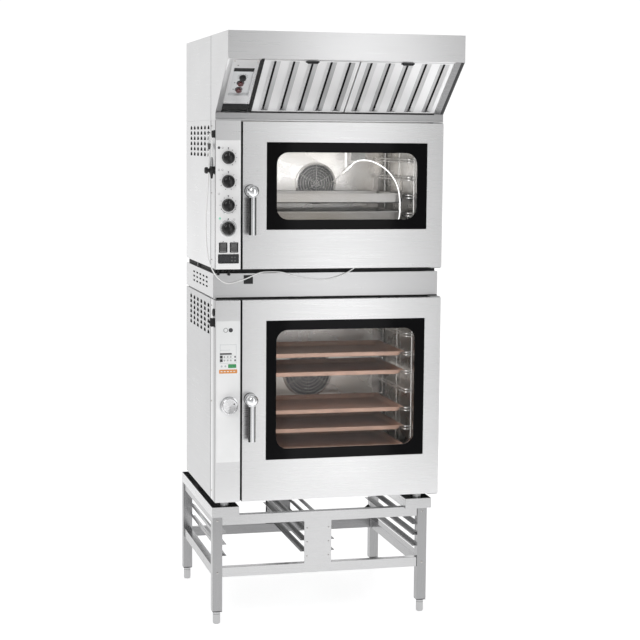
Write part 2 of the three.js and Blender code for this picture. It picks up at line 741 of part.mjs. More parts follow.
// A square tube, closed on top, with an insert at the bottom for the screw foot.
function leg(xs, ys) {
  const middle = [(xs[0] + xs[1]) / 2, (ys[0] + ys[1]) / 2];
  const { footHeight, legTop } = STAND;
  const insertTop = footHeight + 25;
  const inner = block(
    [xs[0] + RAIL.wall, xs[1] - RAIL.wall],
    [ys[0] + RAIL.wall, ys[1] - RAIL.wall],
    [insertTop, legTop - RAIL.wall],
  );
  const thread = rod([...middle, footHeight - 5], [...middle, insertTop + 1], FOOT.stem + 0.6, 12);
  return cut(block(xs, ys, [footHeight, legTop]), inner, thread);
}

// An angle along Y: a flat shelf towards the bay and a web down the outside.
function runner(edge, towards, z, [y0, y1]) {
  const shelf = between(edge, edge + towards * RUNNER.shelf);
  const web = between(edge, edge + towards * RUNNER.thickness);
  return join(
    block(shelf, [y0, y1], [z, z + RUNNER.thickness]),
    block(web, [y0, y1], [z, z + RUNNER.web]),
  );
}

function sideFrame(side) {
  const legX = between(side * STAND.half, side * (STAND.half - STAND.leg));
  const railX = [legX[0] + 5, legX[1] - 5];
  const frontLeg = [STAND.front, STAND.front + STAND.leg];
  const rearLeg = [STAND.back - STAND.leg, STAND.back];
  const railY = [frontLeg[1] - 1, rearLeg[0] + 1];
  const runnerY = [frontLeg[0] + 8, rearLeg[1] - 8];
  const legFace = side * (STAND.half - STAND.leg);
  return join(
    leg(legX, frontLeg),
    leg(legX, rearLeg),
    block(railX, railY, RAIL.low),
    block(railX, railY, RAIL.high),
    ...RUNNER.levels.map((z) => runner(legFace + side, -side, z, runnerY)),
  );
}

function crossmember([y0, y1], postY) {
  const x = STAND.half - STAND.leg - GAP;
  return join(
    tube([-x, x], [y0, y1], RAIL.low, 0),
    tube([-x, x], [y0, y1], RAIL.high, 0),
    block([POST.left, POST.right], postY, [RAIL.low[1] - 1, RAIL.high[0] + 1]),
  );
}

function centreRunners() {
  const front = STAND.front + 12;
  const back = STAND.back - 12;
  const low = POST.low + 6;
  const high = RAIL.high[0] - 4;
  const plate = (y) => block([POST.left + 4, POST.right - 4], [y, y + 3], [low, high]);
  const runners = [];
  for (const z of RUNNER.levels) {
    runners.push(runner(POST.left + 6, -1, z, [front, back]));
    runners.push(runner(POST.right - 6, 1, z, [front, back]));
  }
  return join(plate(front), plate(back - 3), ...runners);
}

function supportChannel(side) {
  const xs = between(side * CHANNEL.outer, side * CHANNEL.inner);
  const { front, back, bottom, top, wall } = CHANNEL;
  const room = block(
    [xs[0] + wall, xs[1] - wall],
    [front + wall, back - wall],
    [bottom + wall, top + 5],
  );
  return cut(block(xs, [front, back], [bottom, top]), room);
}

function screwFoot(x, y) {
  const { radius, stem, stemTop } = FOOT;
  const top = STAND.footHeight - GAP;
  return join(
    rod([x, y, 0], [x, y, 5], radius - 2, 20, radius),
    rod([x, y, 5], [x, y, top], radius, 20),
    rod([x, y, top - 1], [x, y, stemTop], stem, 12),
  );
}

function stand() {
  node("stand_side_frame_left", sideFrame(-1), STEEL);
  node("stand_side_frame_right", sideFrame(1), STEEL);
  const frontY = [STAND.front + 6, STAND.front + 36];
  const rearY = [STAND.back - 36, STAND.back - 6];
  node("stand_front_crossmember", crossmember(frontY, [frontY[0], frontY[0] + 2]), STEEL);
  node("stand_rear_crossmember", crossmember(rearY, [rearY[1] - 2, rearY[1]]), STEEL);
  node("stand_centre_runners", centreRunners(), STEEL_DARK);
  node("stand_channel_left", supportChannel(-1), STEEL);
  node("stand_channel_right", supportChannel(1), STEEL);
  const x = STAND.half - STAND.leg / 2;
  const corners = {
    front_left: [-x, STAND.front + STAND.leg / 2],
    front_right: [x, STAND.front + STAND.leg / 2],
    rear_left: [-x, STAND.back - STAND.leg / 2],
    rear_right: [x, STAND.back - STAND.leg / 2],
  };
  for (const [place, [footX, footY]] of Object.entries(corners))
    node(`stand_foot_${place}`, screwFoot(footX, footY), CHROME);
}

// ---------------------------------------------------------------- core probe

// A right-angled plug: its body along X, its grip and the cable's exit along Z.
function probePlug(side) {
  const { socketY, socketZ, socketDepth, plugX } = PROBE;
  const across = (from, to, radius, sides) =>
    rod([side - from, socketY, socketZ], [side - to, socketY, socketZ], radius, sides);
  const upright = (from, to, radius, endRadius) =>
    rod([plugX, socketY, socketZ + from], [plugX, socketY, socketZ + to], radius, 12, endRadius);
  return join(
    across(socketDepth + GAP, 30, 9, 12),
    across(27, 40, 12, 16),
    upright(50, 12, 4, 8),
    upright(13, -12, 8.5),
    upright(-31.5, -11, 4, 8),
  );
}

function probeCable() {
  const circle = new THREE.Path().absarc(0, 0, PROBE.cableRadius, 0, 2 * Math.PI);
  const section = new THREE.Shape(circle.getPoints(4).slice(0, 8));
  const route = new THREE.CatmullRomCurve3(CABLE_ROUTE.map((point) => new THREE.Vector3(...point)));
  const sweep = { steps: CABLE_STEPS, extrudePath: route, bevelEnabled: false };
  return solid(new THREE.ExtrudeGeometry(section, sweep));
}

function probe() {
  const side = -HALF_WIDTH - GAP;
  const { socketY, socketZ, socketDepth } = PROBE;
  const { tip, neck, cap } = NEEDLE;
  const socket = rod([side, socketY, socketZ], [side - socketDepth, socketY, socketZ], 16, 20);
  node("probe_socket", socket, BLACK);
  node("probe_plug", probePlug(side), BLACK);
  node("probe_cable", probeCable(), WHITE);
  node("probe_needle", join(rod(tip, neck, 1.5, 10, 2), rod(neck, cap, 5.5, 12, 6.5)), STEEL_DARK);
}

// ---------------------------------------------------------------- the tower

stand();
oven("lower", LOWER, {
  columnHoles: [shaftHoleInColumn(DIAL.x, DIAL.z)],
  footBottom: CHANNEL.bottom + CHANNEL.wall + GAP,
  lowBack: BRACKET.back,
  highBack: CABINET_FRONT + 7,
  notches: [],
  fittings: [],
});
node("lower_dial", knobBody(DIAL), STEEL, groupAt(DIAL.x, DOOR_FRONT - GAP, DIAL.z));
node("stacking_frame", stackingFrame(), STEEL);

const cableNotch = block(
  [NOTCH.left, NOTCH.right],
  [DOOR_BACK - 5, CABINET_FRONT + 5],
  [UPPER.floor - 25, UPPER.floor - 1],
);
oven("upper", UPPER, {
  columnHoles: [
    ...KNOB.levels.map((z) => shaftHoleInColumn(KNOB.x, z)),
    ...ROCKER.xs.map((x) => rockerHole(x)),
  ],
  footBottom: SPACER.top + GAP,
  lowBack: BRACKET.back,
  highBack: CABINET_FRONT - GAP,
  notches: [cableNotch],
  fittings: [probeClip(UPPER.ceiling)],
});
upperKnobs();
rockerSwitches();
hood();
probe();

export default tower;
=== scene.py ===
"""Looks of the combi steamer oven tower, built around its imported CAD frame.

Shapes are drawn in millimetres in the row's frame and stored in metres.
"""

import math

import bmesh
import bpy
from mathutils import Matrix, Vector


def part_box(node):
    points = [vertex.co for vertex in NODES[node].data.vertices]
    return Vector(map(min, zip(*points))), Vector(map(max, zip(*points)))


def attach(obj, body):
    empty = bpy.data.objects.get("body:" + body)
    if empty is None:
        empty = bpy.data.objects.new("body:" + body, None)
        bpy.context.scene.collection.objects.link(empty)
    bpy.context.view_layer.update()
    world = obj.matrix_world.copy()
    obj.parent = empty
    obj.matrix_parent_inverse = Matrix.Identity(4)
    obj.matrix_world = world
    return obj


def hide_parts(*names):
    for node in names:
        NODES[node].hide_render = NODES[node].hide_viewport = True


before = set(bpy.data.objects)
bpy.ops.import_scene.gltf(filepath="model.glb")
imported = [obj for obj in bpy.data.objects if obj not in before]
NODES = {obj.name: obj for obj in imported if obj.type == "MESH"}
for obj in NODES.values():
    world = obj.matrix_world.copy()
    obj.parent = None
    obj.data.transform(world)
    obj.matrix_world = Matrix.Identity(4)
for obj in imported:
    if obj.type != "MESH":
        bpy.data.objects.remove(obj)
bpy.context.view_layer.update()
MM = 0.001

FORWARD = (0, -1, 0)
BACKWARD = (0, 1, 0)
LEFTWARD = (-1, 0, 0)
UP = (0, 0, 1)

# Places that the pieces share, in millimetres.
DOOR_FRONT = -308
DOOR_BACK = -270
FASCIA = DOOR_FRONT - 0.6
CABINET_FRONT = -258
CASING_BACK = 373
COVER_BACK = 512
LEFT = -460
ROOF = 2350
HOOD_SEAM_Y = -205
LEG_X = (-430, 430)
LEG_Y = (-180, 538)
CAVITY_X = (-293, 375)
TRAY_RECT = (-257, 339, -221, 176)
OVENS = {
    "lower": {
        "body": (525, 1325),
        "door": (525, 1325),
        "room": (650, 1262),
        "glass": (-257, 393, 689, 1243),
        "clear": (-216, 353, 731, 1205),
        "handle": (-321, 935, 164),
        "rungs": [713 + 76.3 * i for i in range(7)],
        "fan": (46, 956, 100),
    },
    "upper": {
        "body": (1447, 2022.7),
        "door": (1447, 2018.5),
        "room": (1588, 1948),
        "glass": (-258, 394, 1600, 1940),
        "clear": (-217, 353, 1639, 1901),
        "handle": (-321, 1751, 169),
        "rungs": [1659 + 72 * i for i in range(4)],
        "fan": (76, 1766, 80),
    },
}
KNOB_LEVELS = (1880, 1788, 1696, 1606)
KNOB_X = -410

# The hood's filter plane: x along the width, y up the slope, z out of it.
SLOPE = Matrix((
    (1, 0, 0, 0),
    (0, -0.79572, -0.60567, -300.5),
    (0, 0.60567, -0.79572, 2052),
    (0, 0, 0, 1),
))
SLOPE_OUT = SLOPE.to_3x3() @ Vector(UP)

# Camera and lamps, in metres and degrees; a lamp has a place, a target, a size and a power in watts.
CAMERA_ANGLES = (14.078, 6.177, 0.481)
CAMERA_PLACE = (-1.62613, -6.63231, 1.94817)
FOCAL_LENGTH = 93.318
LAMPS = (
    ("key", (-3, -4.4, 4.2), (0, 0, 1.2), (2.4, 2.4), 56),
    ("front_strip", (0.85, -3.4, 1.5), (0, -0.3, 1.5), (0.6, 3), 7.4),
    ("top", (0, -0.6, 5.2), (0, 0, 1), (3, 3), 22),
)
OVEN_LIGHT_POWER = 1.65


def span(node):
    """Lowest and highest corner of a CAD node, in millimetres."""
    low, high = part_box(node)
    return low / MM, high / MM


# ------------------------------------------------------------------ camera


def add_camera():
    """The camera of a product photograph from the left, slightly above the middle of the tower."""
    azimuth, pitch, roll = (math.radians(a) for a in CAMERA_ANGLES)
    data = bpy.data.cameras.new("camera")
    data.sensor_width = 36
    data.lens = FOCAL_LENGTH
    data.clip_end = 100
    camera = bpy.data.objects.new("camera", data)
    bpy.context.scene.collection.objects.link(camera)
    bpy.context.scene.camera = camera
    straight = Vector((math.sin(azimuth), math.cos(azimuth), 0))
    ahead = straight * math.cos(pitch) - Vector(UP) * math.sin(pitch)
    level = Vector((math.cos(azimuth), -math.sin(azimuth), 0))
    up = level.cross(ahead)
    right = level * math.cos(roll) + up * math.sin(roll)
    top = up * math.cos(roll) - level * math.sin(roll)
    turn = Matrix((right, top, -ahead)).transposed().to_4x4()
    camera.matrix_world = Matrix.Translation(CAMERA_PLACE) @ turn


# ------------------------------------------------------------------ materials


class Finish:
    """A procedural material, with a few helpers for its nodes."""

    def __init__(self, name, color, metallic=0, roughness=0.5, **sockets):
        self.material = bpy.data.materials.new(name)
        self.material.use_nodes = True
        self.tree = self.material.node_tree
        self.shader = self.tree.nodes["Principled BSDF"]
        self.shader.inputs["Base Color"].default_value = (*color, 1)
        self.shader.inputs["Metallic"].default_value = metallic
        self.shader.inputs["Roughness"].default_value = roughness
        for socket, value in sockets.items():
            self.shader.inputs[socket.replace("_", " ")].default_value = value
        self.color = color
        self.place = self.node("ShaderNodeTexCoord").outputs["Object"]

    def node(self, kind, **inputs):
        made = self.tree.nodes.new(kind)
        for socket, value in inputs.items():
            made.inputs[socket].default_value = value
        return made

    def link(self, source, target):
        self.tree.links.new(source, target)

    def noise(self, stretch, detail=3):
        """Noise with so many cells a metre along each axis."""
        mapping = self.node("ShaderNodeMapping", Scale=stretch)
        self.link(self.place, mapping.inputs["Vector"])
        texture = self.node("ShaderNodeTexNoise", Scale=1, Detail=detail)
        self.link(mapping.outputs["Vector"], texture.inputs["Vector"])
        return texture.outputs["Fac"]

    def spread(self, value, low, high, begin=0.3, end=0.7):
        """Maps the middle of a noise's range to low..high."""
        limits = {"From Min": begin, "From Max": end, "To Min": low, "To Max": high}
        ramp = self.node("ShaderNodeMapRange", **limits)
        self.link(value, ramp.inputs["Value"])
        return ramp.outputs["Result"]

    def vary_roughness(self, value, low, high):
        self.link(self.spread(value, low, high), self.shader.inputs["Roughness"])
        return self

    def vary_color(self, value, other, begin=0.35, end=0.65):
        mix = self.node("ShaderNodeMix")
        mix.data_type = "RGBA"
        mix.inputs["A"].default_value = (*self.color, 1)
        mix.inputs["B"].default_value = (*other, 1)
        self.link(self.spread(value, 0, 1, begin, end), mix.inputs["Factor"])
        self.link(mix.outputs["Result"], self.shader.inputs["Base Color"])
        return self

    def bump(self, value, depth, strength=0.3):
        """Relief of that many metres."""
        bump = self.node("ShaderNodeBump", Strength=strength, Distance=depth)
        self.link(value, bump.inputs["Height"])
        self.link(bump.outputs["Normal"], self.shader.inputs["Normal"])
        return self


def brushed(name, color, rough, grain="flat", streaks=0.03, metallic=1):
    """Stainless steel with fine scratches along one direction and faint broad smudges."""
    stretch = {"flat": (4, 4, 700), "upright": (700, 700, 4), "deep": (700, 6, 700)}[grain]
    finish = Finish(name, color, metallic, rough)
    scratches = finish.noise(stretch, 4)
    finish.vary_roughness(scratches, rough - streaks, rough + streaks)
    finish.vary_color(finish.noise((2.2, 2.2, 3.1), 2), tuple(c * 0.95 for c in color))
    finish.bump(scratches, 0.0001, 0.05)
    return finish.material


def stained(name, color, rough):
    """Stainless steel that has been heated: cloudy, slightly yellow in places."""
    finish = Finish(name, color, 1, rough)
    finish.vary_roughness(finish.noise((9, 9, 12), 4), rough - 0.05, rough + 0.08)
    finish.vary_color(finish.noise((3, 3, 4), 3), (color[0] * 0.9, color[1] * 0.87, color[2] * 0.82))
    finish.bump(finish.noise((400, 400, 12), 2), 0.0001, 0.06)
    return finish.material


def spun(name, color):
    """Steel turned on a lathe: its fine rings spread the highlights into bright sectors."""
    finish = Finish(name, color, 1, 0.24, Anisotropic=0.9, Anisotropic_Rotation=0.25)
    tangent = finish.node("ShaderNodeTangent")
    tangent.direction_type = "RADIAL"
    tangent.axis = "Y"
    finish.link(tangent.outputs["Tangent"], finish.shader.inputs["Tangent"])
    finish.vary_roughness(finish.noise((300, 300, 300), 3), 0.20, 0.28)
    finish.vary_color(finish.noise((40, 40, 40), 2), tuple(c * 0.93 for c in color))
    return finish.material


def polished(name, color):
    finish = Finish(name, color, 1, 0.06)
    finish.vary_roughness(finish.noise((60, 60, 60), 4), 0.04, 0.11)
    finish.bump(finish.noise((35, 35, 35), 2), 0.0003, 0.05)
    return finish.material


def moulded(name, color, rough, relief=0.00015, lift=1.25):
    """Plastic or rubber with a fine eroded grain and a slight change of tone."""
    finish = Finish(name, color, 0, rough)
    grain = finish.noise((900, 900, 900), 3)
    finish.vary_roughness(finish.noise((70, 70, 70), 4), rough - 0.07, rough + 0.09)
    finish.vary_color(finish.noise((25, 25, 25), 4), tuple(min(1, c * lift) for c in color))
    finish.bump(grain, relief, 0.25)
    return finish.material


def glossy(name, color, rough=0.08, coat=0.6, shine=0.5):
    """Enamel, printed glass or paint under a clear coat, with a faint orange-peel surface."""
    finish = Finish(name, color, 0, rough, Coat_Weight=coat, Coat_Roughness=0.04, Specular_IOR_Level=shine)
    finish.vary_roughness(finish.noise((40, 40, 40), 4), rough, rough + 0.06)
    finish.vary_color(finish.noise((3, 3, 4), 3), tuple(min(1, c * 1.15) for c in color))
    finish.bump(finish.noise((180, 180, 180), 2), 0.00006, 0.1)
    return finish.material


def clear_pane(name, tint, alpha):
    """Window glass: see-through, with faint smears in its gloss."""
    finish = Finish(name, tint, 0, 0.03, Alpha=alpha, IOR=1.5)
    finish.vary_roughness(finish.noise((6, 6, 9), 5), 0.01, 0.05)
    finish.vary_color(finish.noise((3, 3, 3), 3), tuple(c * 1.6 for c in tint))
    finish.material.surface_render_method = "BLENDED"
    return finish.material


def glowing(name, color, strength):
    finish = Finish(name, color, 0, 0.3, Emission_Strength=strength)
    finish.shader.inputs["Emission Color"].default_value = (*color, 1)
    finish.vary_roughness(finish.noise((300, 300, 300), 2), 0.25, 0.4)
    return finish.material


STEEL_FLAT = brushed("steel_sheet_flat_grain", (0.80, 0.80, 0.805), 0.30)
STEEL_UPRIGHT = brushed("steel_sheet_upright_grain", (0.80, 0.80, 0.805), 0.30, "upright")
STEEL_TUBE = brushed("steel_tube", (0.57, 0.57, 0.575), 0.24, "flat", 0.05)
# Darker copy of the tube steel for the stand's side frames: painted shade.
STEEL_LEG_PAINTED_SHADE = brushed("steel_leg_painted_shade", (0.36, 0.36, 0.365), 0.24, "upright", 0.05)
# Darker copy of the sheet steel for the hood's lower lip: painted shade on its downward face.
STEEL_LIP_PAINTED_SHADE = brushed("steel_lip_painted_shade", (0.50, 0.50, 0.505), 0.3, "flat", 0.04)
# Dark steel that stands for shade: painted shade on the stand's rear crossmember, the columns' folds and
# corners and the filler beside the hood's right filter.
STEEL_PAINTED_SHADE = brushed("steel_tube_shaded", (0.30, 0.30, 0.305), 0.3, "flat", 0.06)
# Dark copy of the tube steel for the centre runners under the ovens: painted shade.
STEEL_RUNNER_PAINTED_SHADE = brushed("steel_runner_painted_shade", (0.26, 0.26, 0.262), 0.3, "deep", 0.05)
STEEL_CHASSIS = brushed("steel_chassis", (0.46, 0.465, 0.47), 0.42, "deep", 0.06)
STEEL_BAFFLE = brushed("steel_baffle", (0.93, 0.93, 0.935), 0.34, "upright", 0.04, 0.5)
# A shaded and a lit copy of the baffle steel: painted shade and painted light on the baffles' flanks and
# curls.
STEEL_BAFFLE_SHADED = brushed("steel_baffle_painted_shade", (0.54, 0.54, 0.545), 0.34, "upright", 0.04, 0.7)
STEEL_BAFFLE_LIT = brushed("steel_baffle_painted_light", (0.84, 0.84, 0.845), 0.34, "upright", 0.04, 0.6)
STEEL_DARK = brushed("steel_shaded", (0.22, 0.22, 0.225), 0.45, "deep", 0.06)
# Darker copy of the flat steel for the lower oven's casing: painted shade, so its side reads no lighter than
# the upper oven's.
STEEL_LOWER_SIDE_PAINTED_SHADE = brushed("steel_lower_side_painted_shade", (0.53, 0.53, 0.535), 0.30)
STEEL_DOOR = brushed("steel_door", (0.78, 0.78, 0.785), 0.29)
STEEL_SPACER = brushed("steel_spacer", (0.66, 0.66, 0.665), 0.30)
# Darker copy of the sheet steel for the lower column's cheek: painted shade.
STEEL_COLUMN_PAINTED_SHADE = brushed("steel_column_side_painted_shade", (0.50, 0.50, 0.505), 0.32, "upright")
STEEL_CAVITY = stained("steel_cavity", (0.62, 0.61, 0.60), 0.26)
STEEL_PAN = stained("steel_pan", (0.74, 0.73, 0.72), 0.22)
STEEL_FOOT = brushed("steel_foot", (0.48, 0.48, 0.485), 0.14, "upright", 0.04)
STEEL_VESSEL = stained("steel_vessel", (0.40, 0.395, 0.39), 0.36)
# Near-black steel for the back baffles and the flange beside the hood's right filter: painted shadow.
STEEL_IN_SHADOW = brushed("steel_in_shadow", (0.07, 0.07, 0.072), 0.5, "upright", 0.05)
CHROME = polished("chrome", (0.88, 0.89, 0.90))
WIRE = brushed("rack_wire", (0.90, 0.89, 0.87), 0.26, "deep", 0.05, 0.7)
ALUMINIUM = moulded("cast_aluminium", (0.42, 0.42, 0.43), 0.5, 0.0006)
BRASS = stained("brass", (0.62, 0.46, 0.20), 0.3)
BLACK_PLASTIC = moulded("black_plastic", (0.005, 0.005, 0.0055), 0.42)
# Glossy black for the knobs; also paints the dark reflections on the flanks of the door handles' chrome
# levers.
KNOB_BLACK_AND_PAINTED_REFLECTION = glossy("knob_black_and_painted_reflection", (0.003, 0.003, 0.0035), 0.16, 0, 0.5)
GREY_PLASTIC = moulded("grey_plastic", (0.10, 0.10, 0.10), 0.5)
# Black rubber for gaskets and seals; the same black also makes the strips that paint the shadow in gaps,
# slots, recesses and channels.
RUBBER_AND_PAINTED_SHADOW = moulded("black_rubber_and_painted_shadow", (0.007, 0.007, 0.0075), 0.72, 0.0004)
CABLE_SHEATH = moulded("cable_sheath", (0.98, 0.98, 0.97), 0.34, 0.0001, 1.02)
BLACK_GLASS = glossy("black_glass", (0.003, 0.003, 0.0035), 0.05, 0, 0.08)
WHITE_FASCIA = glossy("white_fascia", (0.98, 0.98, 0.98), 0.32, 0.2)
WHITE_GLASS = glossy("white_glass", (0.88, 0.89, 0.89), 0.12, 0.3)
RED_LENS = glossy("red_lens", (0.07, 0.006, 0.008), 0.12)
PRINT = moulded("grey_print", (0.05, 0.05, 0.055), 0.5)
TRAY_COATING = moulded("tray_coating", (0.40, 0.26, 0.20), 0.5, 0.0004)
CLEAR = clear_pane("clear_glass", (0.010, 0.012, 0.012), 0.10)
SCREEN = glossy("screen_glass", (0.018, 0.020, 0.022), 0.07)
LCD = glossy("lcd_panel", (0.55, 0.58, 0.60), 0.2)
GREEN_LIGHT = glowing("green_light", (0.20, 0.50, 0.36), 0.5)
GREEN_KEY = glossy("green_key", (0.04, 0.30, 0.10), 0.25)
ORANGE_KEY = glossy("orange_key", (0.72, 0.28, 0.06), 0.25)
WHITE_MARK = moulded("white_mark", (0.8, 0.8, 0.8), 0.5)
LAMP = glossy("lamp_lens", (0.75, 0.76, 0.74), 0.15)
LINER = moulded("grey_liner", (0.66, 0.67, 0.68), 0.5, 0.0001, 1.04)
# Flat black for the sheets behind the vents and the shapes over the vent slots: painted shadow in the vents.
VENT_PAINTED_SHADOW = glossy("vent_painted_shadow", (0.002, 0.002, 0.002), 0.8, 0, 0.04)
STEEL_DIAL = spun("steel_dial", (0.80, 0.80, 0.81))


# ------------------------------------------------------------------ shapes


class Shape:
    """A mesh being drawn in millimetres."""

    def __init__(self):
        self.mesh = bmesh.new()

    def block(self, x, y, z, turn=None):
        centre = Vector((sum(x) / 2, sum(y) / 2, sum(z) / 2))
        size = Matrix.Diagonal((x[1] - x[0], y[1] - y[0], z[1] - z[0], 1))
        place = (turn or Matrix()) @ Matrix.Translation(centre) @ size
        bmesh.ops.create_cube(self.mesh, size=1, matrix=place)
        return self

    def rod(self, start, end, radius, end_radius=None, sides=24):
        start = Vector(start)
        along = Vector(end) - start
        turn = along.to_track_quat("Z", "Y").to_matrix().to_4x4()
        place = Matrix.Translation(start + along / 2) @ turn
        bmesh.ops.create_cone(
            self.mesh, cap_ends=True, segments=sides, radius1=radius,
            radius2=radius if end_radius is None else end_radius, depth=along.length, matrix=place,
        )
        return self

    def loft(self, loops, closed=False):
        """Joins point loops of equal length with quads; closed joins the last to the first."""
        rings = [[self.mesh.verts.new(p) for p in loop] for loop in loops]
        self.join(list(zip(rings, rings[1:])) + ([(rings[-1], rings[0])] if closed else []))
        if not closed:
            self.mesh.faces.new(reversed(rings[0]))
            self.mesh.faces.new(rings[-1])
        return self

    def join(self, pairs):
        """Quads between the two rings of each pair."""
        for a, b in pairs:
            for i in range(len(a)):
                j = (i + 1) % len(a)
                self.mesh.faces.new((a[i], a[j], b[j], b[i]))

    def prism(self, outline, x):
        """An outline of (y, z) points drawn out along X."""
        return self.loft([[(end, y, z) for y, z in outline] for end in x])

    def turned(self, profile, centre, axis, sides=40, hollow=False):
        """Turns [radius, height] points about an axis through centre. A hollow one is a ring."""
        turn = Vector(axis).to_track_quat("Z", "Y").to_matrix()
        centre = Vector(centre)
        loops = []
        for radius, height in profile:
            loop = []
            for i in range(sides):
                angle = 2 * math.pi * i / sides
                point = Vector((radius * math.cos(angle), radius * math.sin(angle), height))
                loop.append(centre + turn @ point)
            loops.append(loop)
        return self.loft(loops, closed=hollow)

    def make(
        self, name, material, body="tower", slot=None, bevel=0, segments=2, smooth=32, matrix=None,
    ):
        """Turns the drawing into an object that rides on a body."""
        bmesh.ops.recalc_face_normals(self.mesh, faces=self.mesh.faces)
        if matrix is not None:
            self.mesh.transform(matrix)
        self.mesh.transform(Matrix.Scale(MM, 4))
        data = bpy.data.meshes.new(name)
        self.mesh.to_mesh(data)
        self.mesh.free()
        piece = placed(name, data, material, body)
        if bevel:
            soften(piece, bevel, segments)
        data.shade_smooth()
        data.set_sharp_from_angle(angle=math.radians(smooth))
        return piece


def placed(name, data, material, body):
    """An object of that mesh or curve, in its material, riding on a body."""
    data.materials.append(material)
    piece = bpy.data.objects.new(name, data)
    bpy.context.scene.collection.objects.link(piece)
    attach(piece, body)
    return piece


def soften(piece, width, segments=2):
    """Rounds the edges that are sharper than 40 degrees."""
    bevel = piece.modifiers.new("round_edges", "BEVEL")
    bevel.width = width * MM
    bevel.segments = segments
    bevel.limit_method = "ANGLE"
    bevel.angle_limit = math.radians(40)
    bevel.harden_normals = True


def rounded(rect, corner, y, steps=6):
    """A loop round a rectangle (left, right, low, high) in the XZ plane at depth y, with round corners."""
    left, right, low, high = rect
    centres = ((right, high, 0), (left, high, 1), (left, low, 2), (right, low, 3))
    points = []
    for x, z, quarter in centres:
        cx = x - corner if x == right else x + corner
        cz = z - corner if z == high else z + corner
        for i in range(steps + 1):
            angle = (quarter + i / steps) * math.pi / 2
            points.append((cx + corner * math.cos(angle), y, cz + corner * math.sin(angle)))
    return points


def grown(rect, by):
    left, right, low, high = rect
    return (left - by, right + by, low - by, high + by)


def pane(rect, corner, front, back, edge):
    """A flat piece with round corners and softened rims, front and back."""
    inset = grown(rect, -edge)
    tight = max(corner - edge, 0.05)
    return Shape().loft([
        rounded(inset, tight, front),
        rounded(rect, corner, front + edge),
        rounded(rect, corner, back - edge),
        rounded(inset, tight, back),
    ])


def wires(name, paths, radius, material, body="tower", closed=False, resolution=3):
    """Bent round wire: one curve object with a spline for each path."""
    curve = bpy.data.curves.new(name, "CURVE")
    curve.dimensions = "3D"
    curve.bevel_depth = radius * MM
    curve.bevel_resolution = resolution
    curve.use_fill_caps = True
    for path in paths:
        spline = curve.splines.new("POLY")
        spline.points.add(len(path) - 1)
        for point, place in zip(spline.points, path):
            point.co = (*(Vector(place) * MM), 1)
        spline.use_cyclic_u = closed
        spline.use_smooth = True
    return placed(name, curve, material, body)


def bent(corners, radius, steps=4):
    """A path through corners with round bends of that radius."""
    points = [Vector(c) for c in corners]
    path = [points[0]]
    for before, corner, after in zip(points, points[1:], points[2:]):
        back = (before - corner).normalized()
        ahead = (after - corner).normalized()
        reach = min(radius, (before - corner).length / 2, (after - corner).length / 2)
        start = corner + back * reach
        end = corner + ahead * reach
        for i in range(steps + 1):
            t = i / steps
            path.append(start * (1 - t) ** 2 + corner * 2 * t * (1 - t) + end * t * t)
    path.append(points[-1])
    return path


def frame_ring(outer, outer_corner, inner, inner_corner, front, back):
    """A flat frame between two rounded rectangles."""
    return Shape().loft([
        rounded(outer, outer_corner, front),
        rounded(outer, outer_corner, back),
        rounded(inner, inner_corner, back),
        rounded(inner, inner_corner, front),
    ], closed=True)


def blocks(name, material, *boxes, **options):
    """A piece of boxes, each given by its x, y and z range and, if need be, a matrix."""
    shape = Shape()
    for box in boxes:
        shape.block(*box)
    return shape.make(name, material, **options)


def lathe(name, material, profile, centre, axis, sides=40, hollow=False, **options):
    """A piece turned about one axis."""
    return Shape().turned(profile, centre, axis, sides, hollow).make(name, material, **options)


def screw_row(name, places, axis, radius, slot="brushed_steel", ending="_slots", closed=False):
    """Screw heads and their cross slots as two pieces; a closed head runs in to a point."""
    aim = Vector(axis).to_track_quat("Z", "Y").to_matrix().to_4x4()
    long, thin, top = radius * 0.55, radius * 0.13, radius * 0.5
    profile = [(radius, -0.4), (radius, 0.3), (radius * 0.8, radius * 0.35), (radius * 0.35, top)]
    if closed:
        profile.append((0.2, top))
    heads = Shape()
    slots = Shape()
    for place in places:
        heads.turned(profile, place, axis, 20)
        turn = Matrix.Translation(Vector(place)) @ aim
        for half_x, half_y in ((long, thin), (thin, long)):
            slots.block((-half_x, half_x), (-half_y, half_y), (top - 0.1, top + 0.12), turn)
    heads.make(name, STEEL_PAN, slot=slot)
    slots.make(name + ending, BLACK_PLASTIC, slot=slot)


def dress(node, material, bevel=0):
    """Gives a CAD node its material and, where its edges show, a small round on them."""
    piece = NODES[node]
    piece.data.materials.clear()
    piece.data.materials.append(material)
    if bevel:
        weld = piece.modifiers.new("weld", "WELD")
        weld.merge_threshold = 0.00002
        flat = piece.modifiers.new("flat_faces", "DECIMATE")
        flat.decimate_type = "DISSOLVE"
        flat.angle_limit = math.radians(1)
        soften(piece, bevel)


# ------------------------------------------------------------------ probe and its cable

